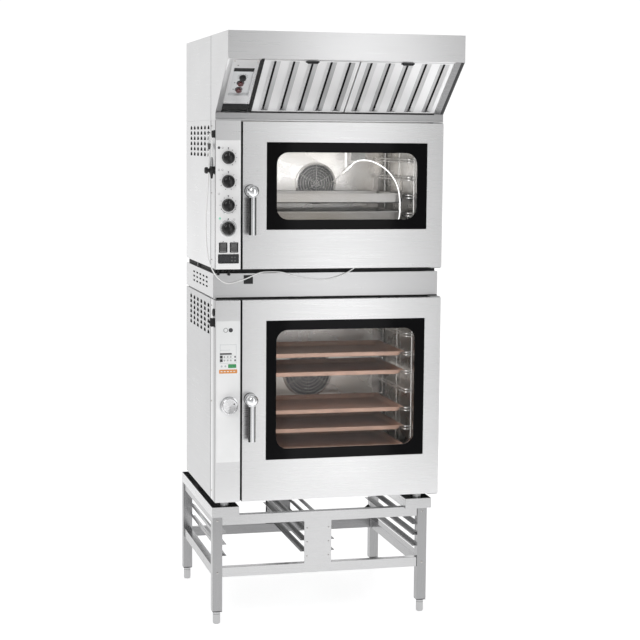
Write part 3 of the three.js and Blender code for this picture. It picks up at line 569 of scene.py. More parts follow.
CABLE_ROUTE = [
    (-472.3, -290, 1880.3), (-472.3, -290, 1915), (-472.8, -290, 1951), (-473, -282.7, 1973.7),
    (-473, -265, 1981.5), (-473, -247.3, 1973.7), (-473, -240, 1951), (-473.3, -239.5, 1900),
    (-475, -238.5, 1800), (-483.5, -230.5, 1630), (-481.5, -238, 1538), (-476.5, -251, 1485),
    (-466, -262, 1448), (-449, -265.5, 1418), (-426, -264, 1397), (-398, -262.5, 1388),
    (-335, -262, 1403.5), (-272, -260.8, 1429.2), (-238, -256, 1431.4), (-206, -257.5, 1431.2),
    (-176, -262, 1427.5), (-130, -262.3, 1413), (-18, -262, 1398.5), (36, -262, 1408),
    (82, -263, 1426.5), (116, -264.3, 1451), (137, -264.3, 1485), (148, -264.2, 1580),
    (153.6, -260.4, 1602), (168.5, -249.5, 1612.6), (199, -234, 1604.4), (242, -227, 1592.3),
    (284, -226.5, 1603), (306, -226, 1650), (298, -226, 1762), (262, -227.5, 1821), (202, -234, 1861),
    (148, -241, 1872), (116, -237, 1864.2), (103.2, -231.1, 1851.7),
]
CABLE_DIAMETER = 5
SOCKET = (-460, -290, 1830)
PLUG_X = -472.3
NEEDLE_NECK = (71, -216, 1819)
NEEDLE_CAP = (103, -231, 1851.5)


def through(points, steps):
    """A smooth centripetal curve through the points."""
    points = [Vector(p) for p in points]
    points = [2 * points[0] - points[1], *points, 2 * points[-1] - points[-2]]
    path = []
    for a, b, c, d in zip(points, points[1:], points[2:], points[3:]):
        before, here, after = (math.sqrt((q - p).length) for p, q in ((a, b), (b, c), (c, d)))
        leaving = ((b - a) / before - (c - a) / (before + here) + (c - b) / here) * here
        coming = ((c - b) / here - (d - b) / (here + after) + (d - c) / after) * here
        for i in range(steps):
            t = i / steps
            path.append(
                b + leaving * t + (3 * (c - b) - 2 * leaving - coming) * t**2
                + (2 * (b - c) + leaving + coming) * t**3
            )
    path.append(points[-2])
    return path


def add_probe():
    """Socket, right-angled plug, silicone cable and needle of the core temperature probe."""
    x, y, z = SOCKET
    face = [(16, 0.3), (16, 2.2), (14.8, 3.2), (10, 3.2), (0.3, 3.2)]
    socket = lathe("probe_socket_body", BLACK_PLASTIC, face, SOCKET, LEFTWARD)
    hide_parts("probe_socket")
    for number, side in ((1, -12.2), (3, 12.2)):
        place = (x - 3.2, y + side, z)
        screw_row("probe_socket_screw_%d" % number, [place], LEFTWARD, 2, ending="_slot", closed=True)

    shell = [(8, 3.5), (9, 4.5), (9, 22), (7, 24), (7, 26), (12, 28), (12, 37), (9.5, 39.8), (0.5, 40)]
    plug = Shape().turned(shell, SOCKET, LEFTWARD)
    for i in range(14):
        turn = Matrix.Translation((x - 32.5, y, z)) @ Matrix.Rotation(i * math.pi / 7, 4, "X")
        plug.block((-4, 4), (-0.6, 0.6), (11.4, 12.5), turn)
    stem = [(4, -31.5), (4, -29), (5.2, -27), (4.4, -25), (5.8, -22), (5, -20), (6.6, -16), (6, -14)]
    stem += [(8.5, -11), (8.5, 12), (6.5, 16), (5.6, 30), (4.6, 40), (4, 50)]
    plug.turned(stem, (PLUG_X, y, z), UP, 24)
    plug = plug.make("probe_plug_body", BLACK_PLASTIC, smooth=40)
    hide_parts("probe_plug")
    taper = [(7.2, 15.5), (7.2, 20), (6.2, 31), (5.2, 41), (4.5, 49.8), (3.9, 49.8), (5, 16)]
    sleeve = lathe("probe_plug_sleeve", STEEL_CHASSIS, taper, (PLUG_X, y, z), UP, 24, True,
                   slot="probe_steel", smooth=40)

    dress("probe_needle", STEEL_PAN)
    axis = Vector(NEEDLE_CAP) - Vector(NEEDLE_NECK)
    profile = [(2.2, -2), (3.6, -1.5), (5.6, 0.5), (5.9, 2)]
    for h in (0, 3.2, 6.4):
        profile += [(6.1, 5 + h), (5.8, 5.5 + h), (5.8, 6.5 + h), (6.2, 7 + h)]
    profile += [(6.4, 18), (6.7, 30), (6.75, axis.length - 2), (5.6, axis.length), (3, axis.length + 0.2)]
    grip = lathe("probe_needle_grip", STEEL_PAN, profile, NEEDLE_NECK, axis, 32, slot="probe_steel",
                 smooth=40)

    cable = wires("probe_cable_sheath", [through(CABLE_ROUTE, 8)], CABLE_DIAMETER / 2, CABLE_SHEATH)
    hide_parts("probe_cable")


# ------------------------------------------------------------------ doors


def add_door(name, plan):
    """Steel skin, printed outer pane, inner pane on clips, latch and lever handle."""
    body = name + "_door"
    dress(name + "_door_panel", STEEL_DOOR, 1.2)
    dress(name + "_door_gasket", RUBBER_AND_PAINTED_SHADOW, 2)
    dress(name + "_hinge_rod", STEEL_CHASSIS, 0.5)
    clear = plan["clear"]
    left, right, low, high = clear

    border = frame_ring(plan["glass"], 3, clear, 46, DOOR_FRONT - 0.2, DOOR_FRONT + 6)
    border = border.make(name + "_glass_border", BLACK_GLASS, body, bevel=0.7)
    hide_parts(name + "_door_glass")
    pane(grown(clear, -0.15), 45.8, DOOR_FRONT, DOOR_FRONT + 5, 0.3).make(name + "_outer_pane", CLEAR, body)
    inner = (left - 18, right + 18, low - 16, high + 16)
    seal = frame_ring(grown(inner, 2.5), 9, grown(inner, -3), 6, DOOR_BACK, DOOR_BACK + 1.6)
    seal.make(name + "_pane_seal", RUBBER_AND_PAINTED_SHADOW, body, bevel=0.4)
    pane(inner, 8, DOOR_BACK - 3.6, DOOR_BACK - 0.4, 0.4).make(name + "_inner_pane", CLEAR, body)
    clips = Shape()
    for x in (left + 40, right - 40):
        for z in ((inner[2] - 12, inner[2] + 6), (inner[3] - 6, inner[3] + 12)):
            clips.block((x - 9, x + 9), (DOOR_BACK, DOOR_BACK + 1.2), z)
    clips.make(name + "_pane_clips", CHROME, body, bevel=0.3)

    bottom, top = plan["door"]
    # A black strip on the door's side edge: painted shadow in the gap beside the control column.
    edge = ((-353.9, -352.5), (DOOR_FRONT + 1.5, DOOR_BACK), (bottom + 1, top - 1))
    blocks(name + "_door_edge_painted_shadow", RUBBER_AND_PAINTED_SHADOW, edge, body=body, bevel=0.5)
    x, z, _ = plan["handle"]
    latch = Shape().turned([(13, 0.5), (13, 2), (9, 4), (6, 4)], (x, DOOR_BACK, z), BACKWARD, 28)
    latch.block((x - 5, x + 14), (DOOR_BACK + 4, DOOR_BACK + 7.5), (z - 5, z + 5))
    latch.make(name + "_latch_cam", STEEL_PAN, name + "_handle", "chassis_steel", bevel=0.6)
    add_handle(name, plan)


def add_handle(name, plan):
    """A domed hub, and a round lever hanging from it with a black sleeve round its sides and back, painted
    dark reflection on the chrome, that leaves its front bare.
    """
    x, z, length = plan["handle"]
    body = name + "_handle"
    centre = (x, DOOR_FRONT, z)
    lever_y = DOOR_FRONT - 36
    lever, grip = 14, (14.5, 13.6)
    hub = [(24.3, 0.4), (24.5, 2), (24.5, 30), (24.2, 42), (22.4, 50), (19, 56), (14, 60), (7, 61.7),
           (0.3, 62)]
    handle = Shape().turned(hub, centre, FORWARD, 56)
    handle.turned([(13.6, -length), (lever, -length + 0.3), (lever, 0)], (x, lever_y, z), UP)
    handle = handle.make(name + "_lever_handle", CHROME, body, smooth=40)
    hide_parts(name + "_door_handle")
    lathe(name + "_handle_washer", BLACK_PLASTIC, [(24.6, 0.3), (25.6, 0.3), (25.6, 2), (24.6, 2.6)],
          centre, FORWARD, 48, True, body=body)
    tip = [(8, -length - 0.2), (13.2, -length), (13.2, -length + 0.5), (8, -length + 0.4)]
    lathe(name + "_lever_end", BLACK_PLASTIC, tip, (x, lever_y, z), UP, 32, body=body)
    # A black sleeve round the lever's sides and back, leaving its front bare: painted dark reflection on the
    # chrome lever.
    turns = [math.radians(33 + 294 * i / 28) for i in range(29)]
    rim = [(x + radius * math.sin(angle), lever_y - radius * math.cos(angle))
           for radius, angles in zip(grip, (turns, turns[::-1])) for angle in angles]
    arc = Shape().loft([[(px, py, z + up) for px, py in rim] for up in (-length - 0.3, -24)])
    arc.make(name + "_lever_painted_reflection", KNOB_BLACK_AND_PAINTED_REFLECTION, body, bevel=0.3, smooth=40)


# ------------------------------------------------------------------ controls


def ticks(shape, x, z, angles, inner, outer, width):
    """Radial marks; angles in degrees clockwise from the top."""
    for angle in angles:
        turn = Matrix.Translation((x, DOOR_FRONT - 0.75, z)) @ Matrix.Rotation(math.radians(angle), 4, "Y")
        shape.block((-width / 2, width / 2), (-0.25, 0.25), (inner, outer), turn)


def dot(shape, x, z, radius):
    shape.turned([(radius, 0), (radius, 0.3), (radius * 0.9, 0.4)], (x, FASCIA, z), FORWARD, 24)


def add_knob(number, z):
    """A satin black knob with a round skirt, a gripping bar and a pointer."""
    body = "upper_knob_%d" % number
    profile = [(25.3, 0), (25.5, 1.2), (25.2, 4.5), (24, 6), (23.4, 12), (22.8, 16), (20.8, 19.4),
               (16.5, 22)]
    profile += [(9, 23.6), (0.4, 24)]
    knob = Shape().turned(profile, (KNOB_X, FASCIA, z), FORWARD, 56)
    knob.block((KNOB_X - 4.6, KNOB_X + 4.6), (DOOR_FRONT - 24.2, DOOR_FRONT - 20), (z - 19.5, z + 19.5))
    knob = knob.make(body + "_cap", KNOB_BLACK_AND_PAINTED_REFLECTION, body, bevel=0.9, segments=3)
    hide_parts(body)
    mark = ((KNOB_X - 0.9, KNOB_X + 0.9), (DOOR_FRONT - 24.45, DOOR_FRONT - 24.1), (z + 6, z + 18))
    blocks(body + "_pointer", GREY_PLASTIC, mark, body=body)


def add_upper_controls():
    """White fascia with four knobs and their scales, a lamp, two rockers and the timer."""
    pane((-459, -362, 1447.8, 1946), 1.5, FASCIA, DOOR_FRONT + 0.3, 0.25).make("upper_fascia", WHITE_FASCIA)
    prints = Shape()
    scales = (range(0, 151, 30), range(-160, 161, 40), range(-150, 151, 30), [0])
    for number, (z, scale) in enumerate(zip(KNOB_LEVELS, scales), 1):
        add_knob(number, z)
        ticks(prints, KNOB_X, z, scale, 30.5, 34.5, 1.5)
        dot(prints, KNOB_X, z + 36.5, 2.5)
    ticks(prints, KNOB_X, KNOB_LEVELS[2], range(90, 250, 4), 30, 31, 2.3)
    dot(prints, -447, 1917, 5.2)
    for x, z in ((-433, 1917), (-447, 1832), (-434, 1832), (-447, 1740), (-387, 1640)):
        ticks(prints, x, z, range(0, 360, 45), 2.2, 4.2, 0.8)
    prints.make("upper_fascia_marks", PRINT)
    lathe("upper_knob_4_ring", CHROME, [(27, 0), (34, 0), (34, 1.4), (32.8, 2.2), (28.2, 2.2), (27, 1.4)],
          (KNOB_X, FASCIA, KNOB_LEVELS[3]), FORWARD, 56, True)
    lens = [(4.2, 0), (4.2, 1.2), (2.8, 2.4), (0.4, 2.8)]
    lathe("upper_power_lamp", GREEN_LIGHT, lens, (-443, FASCIA, 1645), FORWARD, 24)
    add_rockers()
    add_display()


def add_rockers():
    """Grey rocker faces in black bezels."""
    z = 1532
    for number, x in enumerate((-430, -387), 1):
        name = "upper_rocker_%d" % number
        rect = (x - 16.5, x + 16.5, z - 19.5, z + 19.5)
        hole = (x - 12.2, x + 12.2, z - 16, z + 16)
        bezel = frame_ring(rect, 2, hole, 0.8, DOOR_FRONT - 2.6, DOOR_FRONT - 0.4)
        bezel.make(name + "_bezel", BLACK_PLASTIC, bevel=0.6)
        dress(name, GREY_PLASTIC, 0.5)
        mark = Shape()
        dot(mark, x, z + 24, 1.6)
        ticks(mark, x, z - 26, (0, 90, 180, 270), 0.8, 3, 0.8)
        mark.make(name + "_marks", PRINT)


def add_display():
    """The timer's dark window with dark segments and four small keys."""
    rect = (-450, -368, 1470, 1506)
    bezel = frame_ring(rect, 3, grown(rect, -3), 1.5, DOOR_FRONT - 2.2, DOOR_FRONT - 0.4)
    bezel.make("upper_display_bezel", BLACK_PLASTIC, bevel=0.6)
    pane(grown(rect, -3.1), 1.4, DOOR_FRONT - 1.2, DOOR_FRONT - 0.4, 0.2).make("upper_display_glass", SCREEN)
    keys = Shape()
    for x, z in ((-383, 1494), (-383, 1481), (-395, 1494), (-395, 1481)):
        keys.turned([(3.4, 0), (3.4, 0.6), (2.7, 1)], (x, DOOR_FRONT - 1.1, z), FORWARD, 20)
    keys.make("upper_display_keys", GREY_PLASTIC)
    segments = Shape()
    depth = (DOOR_FRONT - 1.4, DOOR_FRONT - 1.1)
    for x in (-438, -426, -414):
        for z in (1480, 1488, 1496):
            segments.block((x - 3.2, x + 3.2), depth, (z - 0.6, z + 0.6))
        for side in (x - 4.2, x + 4.2):
            for z in ((1489, 1495.2), (1480.8, 1487)):
                segments.block((side - 0.6, side + 0.6), depth, z)
    segments.make("upper_display_segments", PRINT)


def add_lower_controls():
    """White fascia with a plain touch panel, two coloured keys and the dial."""
    pane((-456.5, -362, 686, 1245), 1.5, FASCIA, DOOR_FRONT + 0.3, 0.25).make("lower_fascia", WHITE_GLASS)
    circle = [(7.4, 0), (8.8, 0), (8.8, 0.3), (7.4, 0.3)]
    marks = Shape().turned(circle, (-419, FASCIA, 1209), FORWARD, 36, True)
    dot(marks, -399, 1209, 8.5)
    marks.make("lower_fascia_marks", PRINT)
    icons = Shape()
    depth = (FASCIA - 0.3, FASCIA)
    icons.block((-442, -395), depth, (1113, 1119))
    for z in (1104, 1090):
        icons.block((-442, -431), depth, (z - 5.5, z + 5.5))
        icons.block((-384, -379), depth, (z - 3.5, z + 3.5))
        for x in (-424, -411, -399):
            icons.turned([(1.8, 0), (3, 0), (3, 0.3), (1.8, 0.3)], (x, FASCIA, z), FORWARD, 20, True)
    icons.make("lower_screen_icons", PRINT)
    lines = Shape()
    depth = (FASCIA - 0.25, FASCIA)
    for z, end in ((1152, -377), (1079, -377), (1131, -400), (1110.5, -388), (1097, -388)):
        lines.block((-441, end), depth, (z - 0.5, z + 0.5))
    for x in (-441, -377):
        lines.block((x - 0.5, x + 0.5), depth, (1079, 1152))
    for x in (-435, -420):
        lines.turned([(1, 0), (4, 0), (4, 0.3)], (x, FASCIA, 1067), FORWARD, 20)
    lines.make("lower_screen_lines", LCD)
    for colour, material, rect, corner in (("green", GREEN_KEY, (-409, -377, 1060, 1075), 2),
                                           ("orange", ORANGE_KEY, (-445, -373, 1039, 1054), 2.5)):
        pane(rect, corner, FASCIA - 0.4, FASCIA + 0.1, 0.15).make("lower_%s_key" % colour, material)
    depth = (FASCIA - 0.6, FASCIA - 0.3)
    bars = [((-439 + 12.5 * i, -431 + 12.5 * i), depth, (1045, 1048)) for i in range(5)]
    blocks("lower_orange_key_bars", WHITE_MARK, *bars)
    add_dial()


def add_dial():
    """A turned metal dial with a knurled edge in a shallow collar."""
    place = (-406, FASCIA, 911)
    profile = [(32.4, 0), (33, 1.5), (33, 20.5), (31.6, 24), (29.5, 25.4), (28, 25.2), (26.5, 24), (0.4, 21)]
    dial = Shape().turned(profile, place, FORWARD, 72)
    for i in range(60):
        turn = Matrix.Translation(place) @ Matrix.Rotation(i * math.pi / 30, 4, "Y")
        dial.block((-0.5, 0.5), (-19.5, -3), (32.5, 33.4), turn)
    dial = dial.make("lower_dial_cap", STEEL_DIAL, "lower_dial", smooth=25)
    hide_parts("lower_dial")
    collar = [(33.6, 0), (36.5, 0), (36, 1.6), (33.9, 1.8)]
    lathe("lower_dial_collar", CHROME, collar, place, FORWARD, 72, True)
    lathe("lower_dial_mark", BLACK_PLASTIC, [(2.6, 24.9), (2.6, 25.5), (1.8, 25.6)],
          (place[0] + 17, DOOR_FRONT, place[2] + 9), FORWARD, 20, body="lower_dial")


# ------------------------------------------------------------------ cavities


def add_rack(name, plan, side_name):
    """Round wire rack on one wall: uprights, and two bent rungs at each tray level."""
    side, wall = (-1, CAVITY_X[0]) if side_name == "left" else (1, CAVITY_X[1])
    near = wall - side * 8
    far = wall - side * 34
    front, back = -222, 198
    top = min(plan["rungs"][-1] + 45, plan["room"][1] - 20)
    low = plan["room"][0] + 3.3
    middle = (front + back) / 2
    paths = [
        bent([(near, front, low), (near, front, top), (near, back, top), (near, back, low)], 12, 5),
        bent([(near, middle, low), (near, middle, top)], 5),
    ]
    for rung in plan["rungs"]:
        for z in (rung, rung - 11):
            paths.append(bent([(near, front, z), (far, front, z), (far, back, z), (near, back, z)], 9, 5))
    node = "%s_rack_%s" % (name, side_name)
    rack = wires(node + "_wires", paths, 3, WIRE)
    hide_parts(node)
    studs = Shape()
    for y in (front, back):
        for z in (low + 50, top - 50):
            studs.rod((near + side * 2, y, z), (wall, y, z), 4, sides=16)
    studs.make(node + "_studs", STEEL_PAN, slot="cavity_steel")


def add_fan(name, plan):
    """Suction plate with its wire guard, nuts and bead, and the wheel and motor behind it."""
    x, z, eye = plan["fan"]
    y = 251
    dress(name + "_fan_baffle", STEEL_CAVITY)
    dress(name + "_fan_wheel", STEEL_DARK)
    dress(name + "_fan_motor", ALUMINIUM, 1.5)

    def guard_point(radius, angle, lift):
        bulge = 10 * (1 - min(1, radius) ** 2)
        return (x + radius * eye * math.cos(angle), y - lift - bulge, z + radius * eye * math.sin(angle))

    rings = [[guard_point(0.16 + 0.14 * i, k * math.pi / 24, 4) for k in range(48)] for i in range(7)]
    wires(name + "_fan_guard_rings", rings, 1.9, WIRE, closed=True, resolution=2)
    spokes = [[guard_point(r, i * math.pi / 3 + math.pi / 6, 6.5) for r in (0, 0.25, 0.5, 0.75, 0.95, 1.08)]
              for i in range(6)]
    wires(name + "_fan_guard_spokes", spokes, 2, WIRE, resolution=2)
    rim = [(eye, 0), (eye + 9, 0), (eye + 8, 2.2), (eye + 1, 3.6), (eye - 0.5, 1.5)]
    lathe(name + "_suction_rim", STEEL_CAVITY, rim, (x, y, z), FORWARD, 64, True)
    plate = (*CAVITY_X, *plan["room"])
    nut = [(9, 0), (9, 4), (7.5, 6.5), (5, 7.5), (4, 12), (0.4, 13)]
    nuts = Shape()
    for nut_x in (plate[0] + 60, plate[1] - 60):
        for nut_z in (plate[2] + 40, plate[3] - 40):
            nuts.turned(nut, (nut_x, y - 0.2, nut_z), FORWARD, 12)
    nuts.make(name + "_baffle_nuts", STEEL_PAN, slot="cavity_steel", smooth=25)
    outer = (plate[0] + 52, plate[1] - 52, plate[2] + 24, plate[3] - 24)
    bead = frame_ring(outer, 14, grown(outer, -8), 8, y - 1.6, y + 0.2)
    bead.make(name + "_baffle_bead", STEEL_CAVITY, bevel=0.7)


def add_lamp(name, x, z):
    """A square lamp window in the cavity's back plate."""
    window = (x - 31, x + 31, z - 21, z + 21)
    rim = frame_ring(grown(window, 9), 6, window, 3, 246, 250.8)
    rim.make(name + "_lamp_rim", STEEL_PAN, slot="cavity_steel", bevel=0.8)
    pane(window, 3, 247.6, 250.6, 0.5).make(name + "_lamp_lens", LAMP)


def tray(name, top, depth, wall, material):
    """A pressed tray: a flat rim that lies on the rungs, sloping walls and a rounded bottom edge."""
    thickness = 1.2
    inside = [(0, 12, 1), (0.4, 12, 0), (9, 14, 0), (11, 14, 1.2), (11 + wall, 16, depth - 5),
              (15 + wall, 16, depth - 1), (22 + wall, 14, depth)]
    outside = [(21.6 + wall, 14, depth + thickness), (14 + wall, 17, depth + 0.2),
               (9.9 + wall, 17, depth - 4.6), (9.8, 15, 1.8 + thickness * 0.3), (8.6, 14, thickness),
               (0.8, 12, thickness)]
    shape = Shape()
    rings = []
    for inset, corner, drop in inside + outside:
        loop = rounded(grown(TRAY_RECT, -inset), corner, 0, 5)
        rings.append([shape.mesh.verts.new((x, y, top - drop)) for x, _, y in loop])
    middle = len(inside)
    for ring in rings[middle - 1:middle + 1]:
        shape.mesh.faces.new(ring)
    shape.join(list(zip(rings[:middle], rings[1:middle])))
    shape.join(list(zip(rings[middle:], rings[middle + 1:])) + [(rings[-1], rings[0])])
    return shape.make(name, material, smooth=50)


def add_cavity(name, plan):
    """Metals of one oven's body, and what is in and around its cavity."""
    floor, ceiling = plan["room"]
    dress(name + "_cavity", STEEL_CAVITY)
    # The lower casing gets the darker steel: painted shade.
    dress(name + "_casing", STEEL_FLAT if name == "upper" else STEEL_LOWER_SIDE_PAINTED_SHADE, 1)
    dress(name + "_base", STEEL_CHASSIS, 0.8)
    dress(name + "_rear_cover", STEEL_CHASSIS, 1.2)
    dress(name + "_control_column", STEEL_FLAT, 1)
    add_rack(name, plan, "left")
    add_rack(name, plan, "right")
    add_fan(name, plan)
    drain = Shape().turned([(26, 0), (26, 1.2), (22, 2.2), (20, 1), (0.5, 0.6)], (40, 0, floor), UP)
    for i in range(8):
        turn = Matrix.Translation((40, 0, floor + 1.4)) @ Matrix.Rotation(i * math.pi / 4, 4, "Z")
        drain.block((6, 17), (-1.4, 1.4), (-0.5, 0.4), turn)
    drain.make(name + "_drain_strainer", STEEL_DARK, slot="cavity_steel")
    inlet = Shape().rod((-180, 300, ceiling - 0.5), (-180, 300, ceiling - 46), 6)
    inlet.rod((-180, 300, ceiling - 44), (-180, 268, ceiling - 60), 4)
    inlet.make(name + "_steam_nozzle", STEEL_PAN, slot="cavity_steel", bevel=0.5)
    x, z, _ = plan["handle"]
    face = (CABINET_FRONT - 1.6, CABINET_FRONT - 0.1)
    plate = ((x - 9, x + 9), face, (z - 42, z + 42))
    catch = ((x - 5, x + 5), (CABINET_FRONT - 4, CABINET_FRONT - 1), (z - 14, z + 14))
    blocks(name + "_latch_plate", STEEL_PAN, plate, catch, slot="chassis_steel", bevel=0.5)
    height = (plan["body"][0] + 3, plan["body"][1] - 3)
    # Black strips behind and beside the gap between the door and the control column: painted shadow.
    blocks(name + "_column_gap_painted_shadow", RUBBER_AND_PAINTED_SHADOW, ((-359.6, -353), face, height),
           ((-360.4, -359.2), (-305, -262), height), bevel=0.4)


# ------------------------------------------------------------------ outside of the ovens


def add_left_side():
    """Folds and seams of the columns, with darker steel as painted shade on the folds, the corners and the
    lower oven's cheek, black sheets behind the vents as painted shadow, cable clip and connectors.
    """
    for name, y, z in (("upper", (-185, 285), (1770, 1905)), ("lower", (-190, 285), (1175, 1305)),
                       ("stacking", (-145, 215), (1352, 1414))):
        # Black sheets behind the vent slots: painted shadow.
        blocks(name + "_vent_painted_shadow_sheet", VENT_PAINTED_SHADOW, ((LEFT + 8, LEFT + 9.5), y, z), bevel=0.3)
    for name, z, skin in (("upper", (1447.5, 2022), STEEL_FLAT),
                          ("lower", (525.5, 1324.5), STEEL_COLUMN_PAINTED_SHADE)):
        # The fold and corner strips are dark steel, and the lower cheek a darker steel than the upper one:
        # painted shade.
        for part, material, proud, deep, y, bevel in (
            ("fold", STEEL_PAINTED_SHADE, 0.7, 1, (-212, -201.6), 0.5),
            ("cheek", skin, 0.9, 0.5, (-296, -262), 0.5),
            ("corner", STEEL_PAINTED_SHADE, 0.8, 0.5, (-307.4, -296.5), 0.4),
            ("joint", STEEL_CHASSIS, 0.6, 0.5, (-261, -256), 0.3),
        ):
            blocks(name + "_column_" + part, material, ((LEFT - proud, LEFT + deep), y, z),
                   slot="brushed_steel", bevel=bevel)
    add_vents()
    screws = [(LEFT - 0.1, -229, z) for z in (560, 920, 1300, 1480, 1740, 2000)]
    screw_row("left_side_screws", screws, LEFTWARD, 3.6)
    add_clip()
    lathe("lower_side_connector_1", BLACK_PLASTIC, [(16, 0.9), (16, 3), (14, 6), (9, 7.6), (0.4, 8)],
          (LEFT, -284, 1277), LEFTWARD, 36, bevel=0.6)
    plug = Shape().block((LEFT - 4, LEFT - 0.9), (-300, -268), (1220, 1256))
    plug.block((LEFT - 15, LEFT - 3), (-297, -271), (1224, 1253))
    for i in range(4):
        plug.block((LEFT - 16, LEFT - 6), (-295 + 6.6 * i, -292 + 6.6 * i), (1222.5, 1254.5))
    plug.turned([(5, 14), (5, 19), (3.5, 21), (0.4, 21.5)], (LEFT, -282, 1239), LEFTWARD, 20)
    plug.make("lower_side_connector_2", BLACK_PLASTIC, bevel=1)


def add_vents():
    """Black shapes over the slots of both casings, six rows of six: painted shadow in the louvres' mouths.
    """
    outline = ((-19.5, -6.8), (19.5, -6.8), (12, 1.5), (2.5, 8.3), (-2.5, 8.3), (-12, 1.5))
    for name, y0, z0, step, rise in (("upper", -154, 1889, 80, 21.25), ("lower", -157, 1188, 82, 21.2)):
        mouths = Shape()
        for column in range(6):
            for row in range(6):
                y = y0 + column * step
                z = z0 + row * rise
                mouths.prism([(y + along, z + up) for along, up in outline], (LEFT - 0.7, LEFT - 0.1))
        mouths.make(name + "_vent_mouth_painted_shadows", VENT_PAINTED_SHADOW)


def add_clip():
    """The cable's clip beside the corner, with two thin prongs that carry the cable's loop."""
    clip = Shape().block((LEFT - 4, LEFT - 0.9), (-303, -284), (1955, 1985))
    clip.prism(((-303, 1983), (-292, 1982), (-276, 1966), (-284, 1961), (-303, 1955)), (-473, -463))
    clip.make("probe_parking_clip", BLACK_PLASTIC, bevel=0.8)
    prongs = Shape()
    for y, z in ((-277, 1973), (-255, 1974.3)):
        end = (LEFT - 22, y, z + 1)
        prongs.rod((LEFT, y, z), end, 1.5, 1.3, 16)
        prongs.turned([(2.2, 0), (2.2, 1.6), (0.4, 2.2)], end, LEFTWARD, 16)
    prongs.make("probe_clip_prongs", STEEL_DARK)
    slide = [(2.6, 0), (4.2, 0.6), (5.4, 10), (7, 22), (6.4, 22.8), (2.6, 22.8)]
    lathe("probe_cable_slide", GREY_PLASTIC, slide, (-473.2, -239.6, 1910), UP, 24, True, smooth=40)


def add_back(name, plan):
    """Louvres, screws, water inlets, cable gland, drain and bonding stud on the rear cover."""
    low, high = plan["body"][0] + 40, plan["body"][1] - 40
    louvres = Shape()
    for x in (-270, -80, 110):
        for row in range(6):
            z = high - 70 - row * 24
            outline = ((0, 9), (5, 2), (6.5, -3), (5.3, -3), (3.8, 1), (0, 5))
            louvres.prism([(COVER_BACK + out, z + up) for out, up in outline], (x - 60, x + 60))
    louvres.make(name + "_rear_louvres", STEEL_CHASSIS, bevel=0.4)
    places = [(x, COVER_BACK + 0.1, z) for x in (-400, 0, 400) for z in (low + 18, high - 18)]
    screw_row(name + "_rear_cover_screws", places, BACKWARD, 4.5, "chassis_steel")
    face = (CASING_BACK + 0.1, CASING_BACK + 1.6)
    flanges = [((x - 13, x + 13), face, (low + 4, high - 4)) for x in (-415, 415)]
    blocks(name + "_rear_flange", STEEL_CHASSIS, *flanges, bevel=0.4)
    valve = [(17, 0), (17, 3), (10, 4), (10, 9), (13.2, 10), (13.2, 24), (12.4, 25.5), (9, 25.5), (9, 6),
             (0.4, 6)]
    valves = Shape()
    for x in (250, 310):
        place = (x, COVER_BACK, low + 46)
        valves.turned(valve, place, BACKWARD, 32)
        for i in range(5):
            out = 11 + 2.6 * i
            valves.turned([(13.2, out), (13.9, out + 1), (13.2, out + 2)], place, BACKWARD, 32)
    valves.make(name + "_water_inlets", BRASS, smooth=40)
    place = (-300, COVER_BACK, low + 46)
    nut = [(19, 0), (19, 6), (15, 7), (15, 17), (12, 22), (9, 22), (9, 8), (0.4, 8)]
    gland = Shape().turned(nut, place, BACKWARD, 6)
    gland.turned([(13, 16), (11, 25), (8, 26), (7, 18)], place, BACKWARD, 32)
    gland.make(name + "_cable_gland", BLACK_PLASTIC, bevel=0.6, smooth=30)
    pipe = [(24, 0), (24, 2), (20, 3), (20, 32), (18, 33), (17, 32), (17, 4), (0.4, 4)]
    lathe(name + "_drain_outlet", STEEL_PAN, pipe, (60, COVER_BACK, low + 52), BACKWARD,
          slot="chassis_steel")
    lathe(name + "_bonding_stud", BRASS, [(7, 0), (7, 2), (4, 2.2), (4, 12), (0.4, 12.5)],
          (-220, COVER_BACK, low + 40), BACKWARD, 6, bevel=0.3, smooth=25)


def add_between():
    """Stacking frame with its black cap, black strips painted as the shadow in the gaps above and below it,
    and the fittings under the upper oven.
    """
    dress("stacking_frame", STEEL_SPACER, 1)
    blocks("stacking_frame_cap", BLACK_PLASTIC, ((-338, -301), (-259, -258.1), (1385, 1420)),
           ((-334, -305), (-259.3, -258.6), (1389, 1416)), bevel=0.8)
    gap = (1427.4, 1445)
    # Black strips in the gap under the upper oven: painted shadow.
    blocks("stacking_frame_upper_gap_painted_shadow", RUBBER_AND_PAINTED_SHADOW, ((-450, 450), (-250, -247), gap),
           ((-450, -447), (-247, 60), gap), ((-450, -447), (170, 360), gap), bevel=0.8)
    fittings = Shape()
    for x, low in ((-440, 1421), (-424, 1433), (-398, 1419.5), (-380, 1434)):
        profile = [(4.5, 0), (5.5, 1.5), (5.5, 6), (3.6, 8), (3.6, 1446.8 - low)]
        fittings.turned(profile, (x, -262, low), UP, 20)
    fittings.make("upper_bottom_fittings", BLACK_PLASTIC)
    # A black strip at the joint above the lower oven: painted shadow of that gap.
    blocks("stacking_frame_lower_gap_painted_shadow", RUBBER_AND_PAINTED_SHADOW, ((-446, 459), (-259.2, -258.1), (1324.4, 1332.8)), bevel=0.3)


# ------------------------------------------------------------------ hood


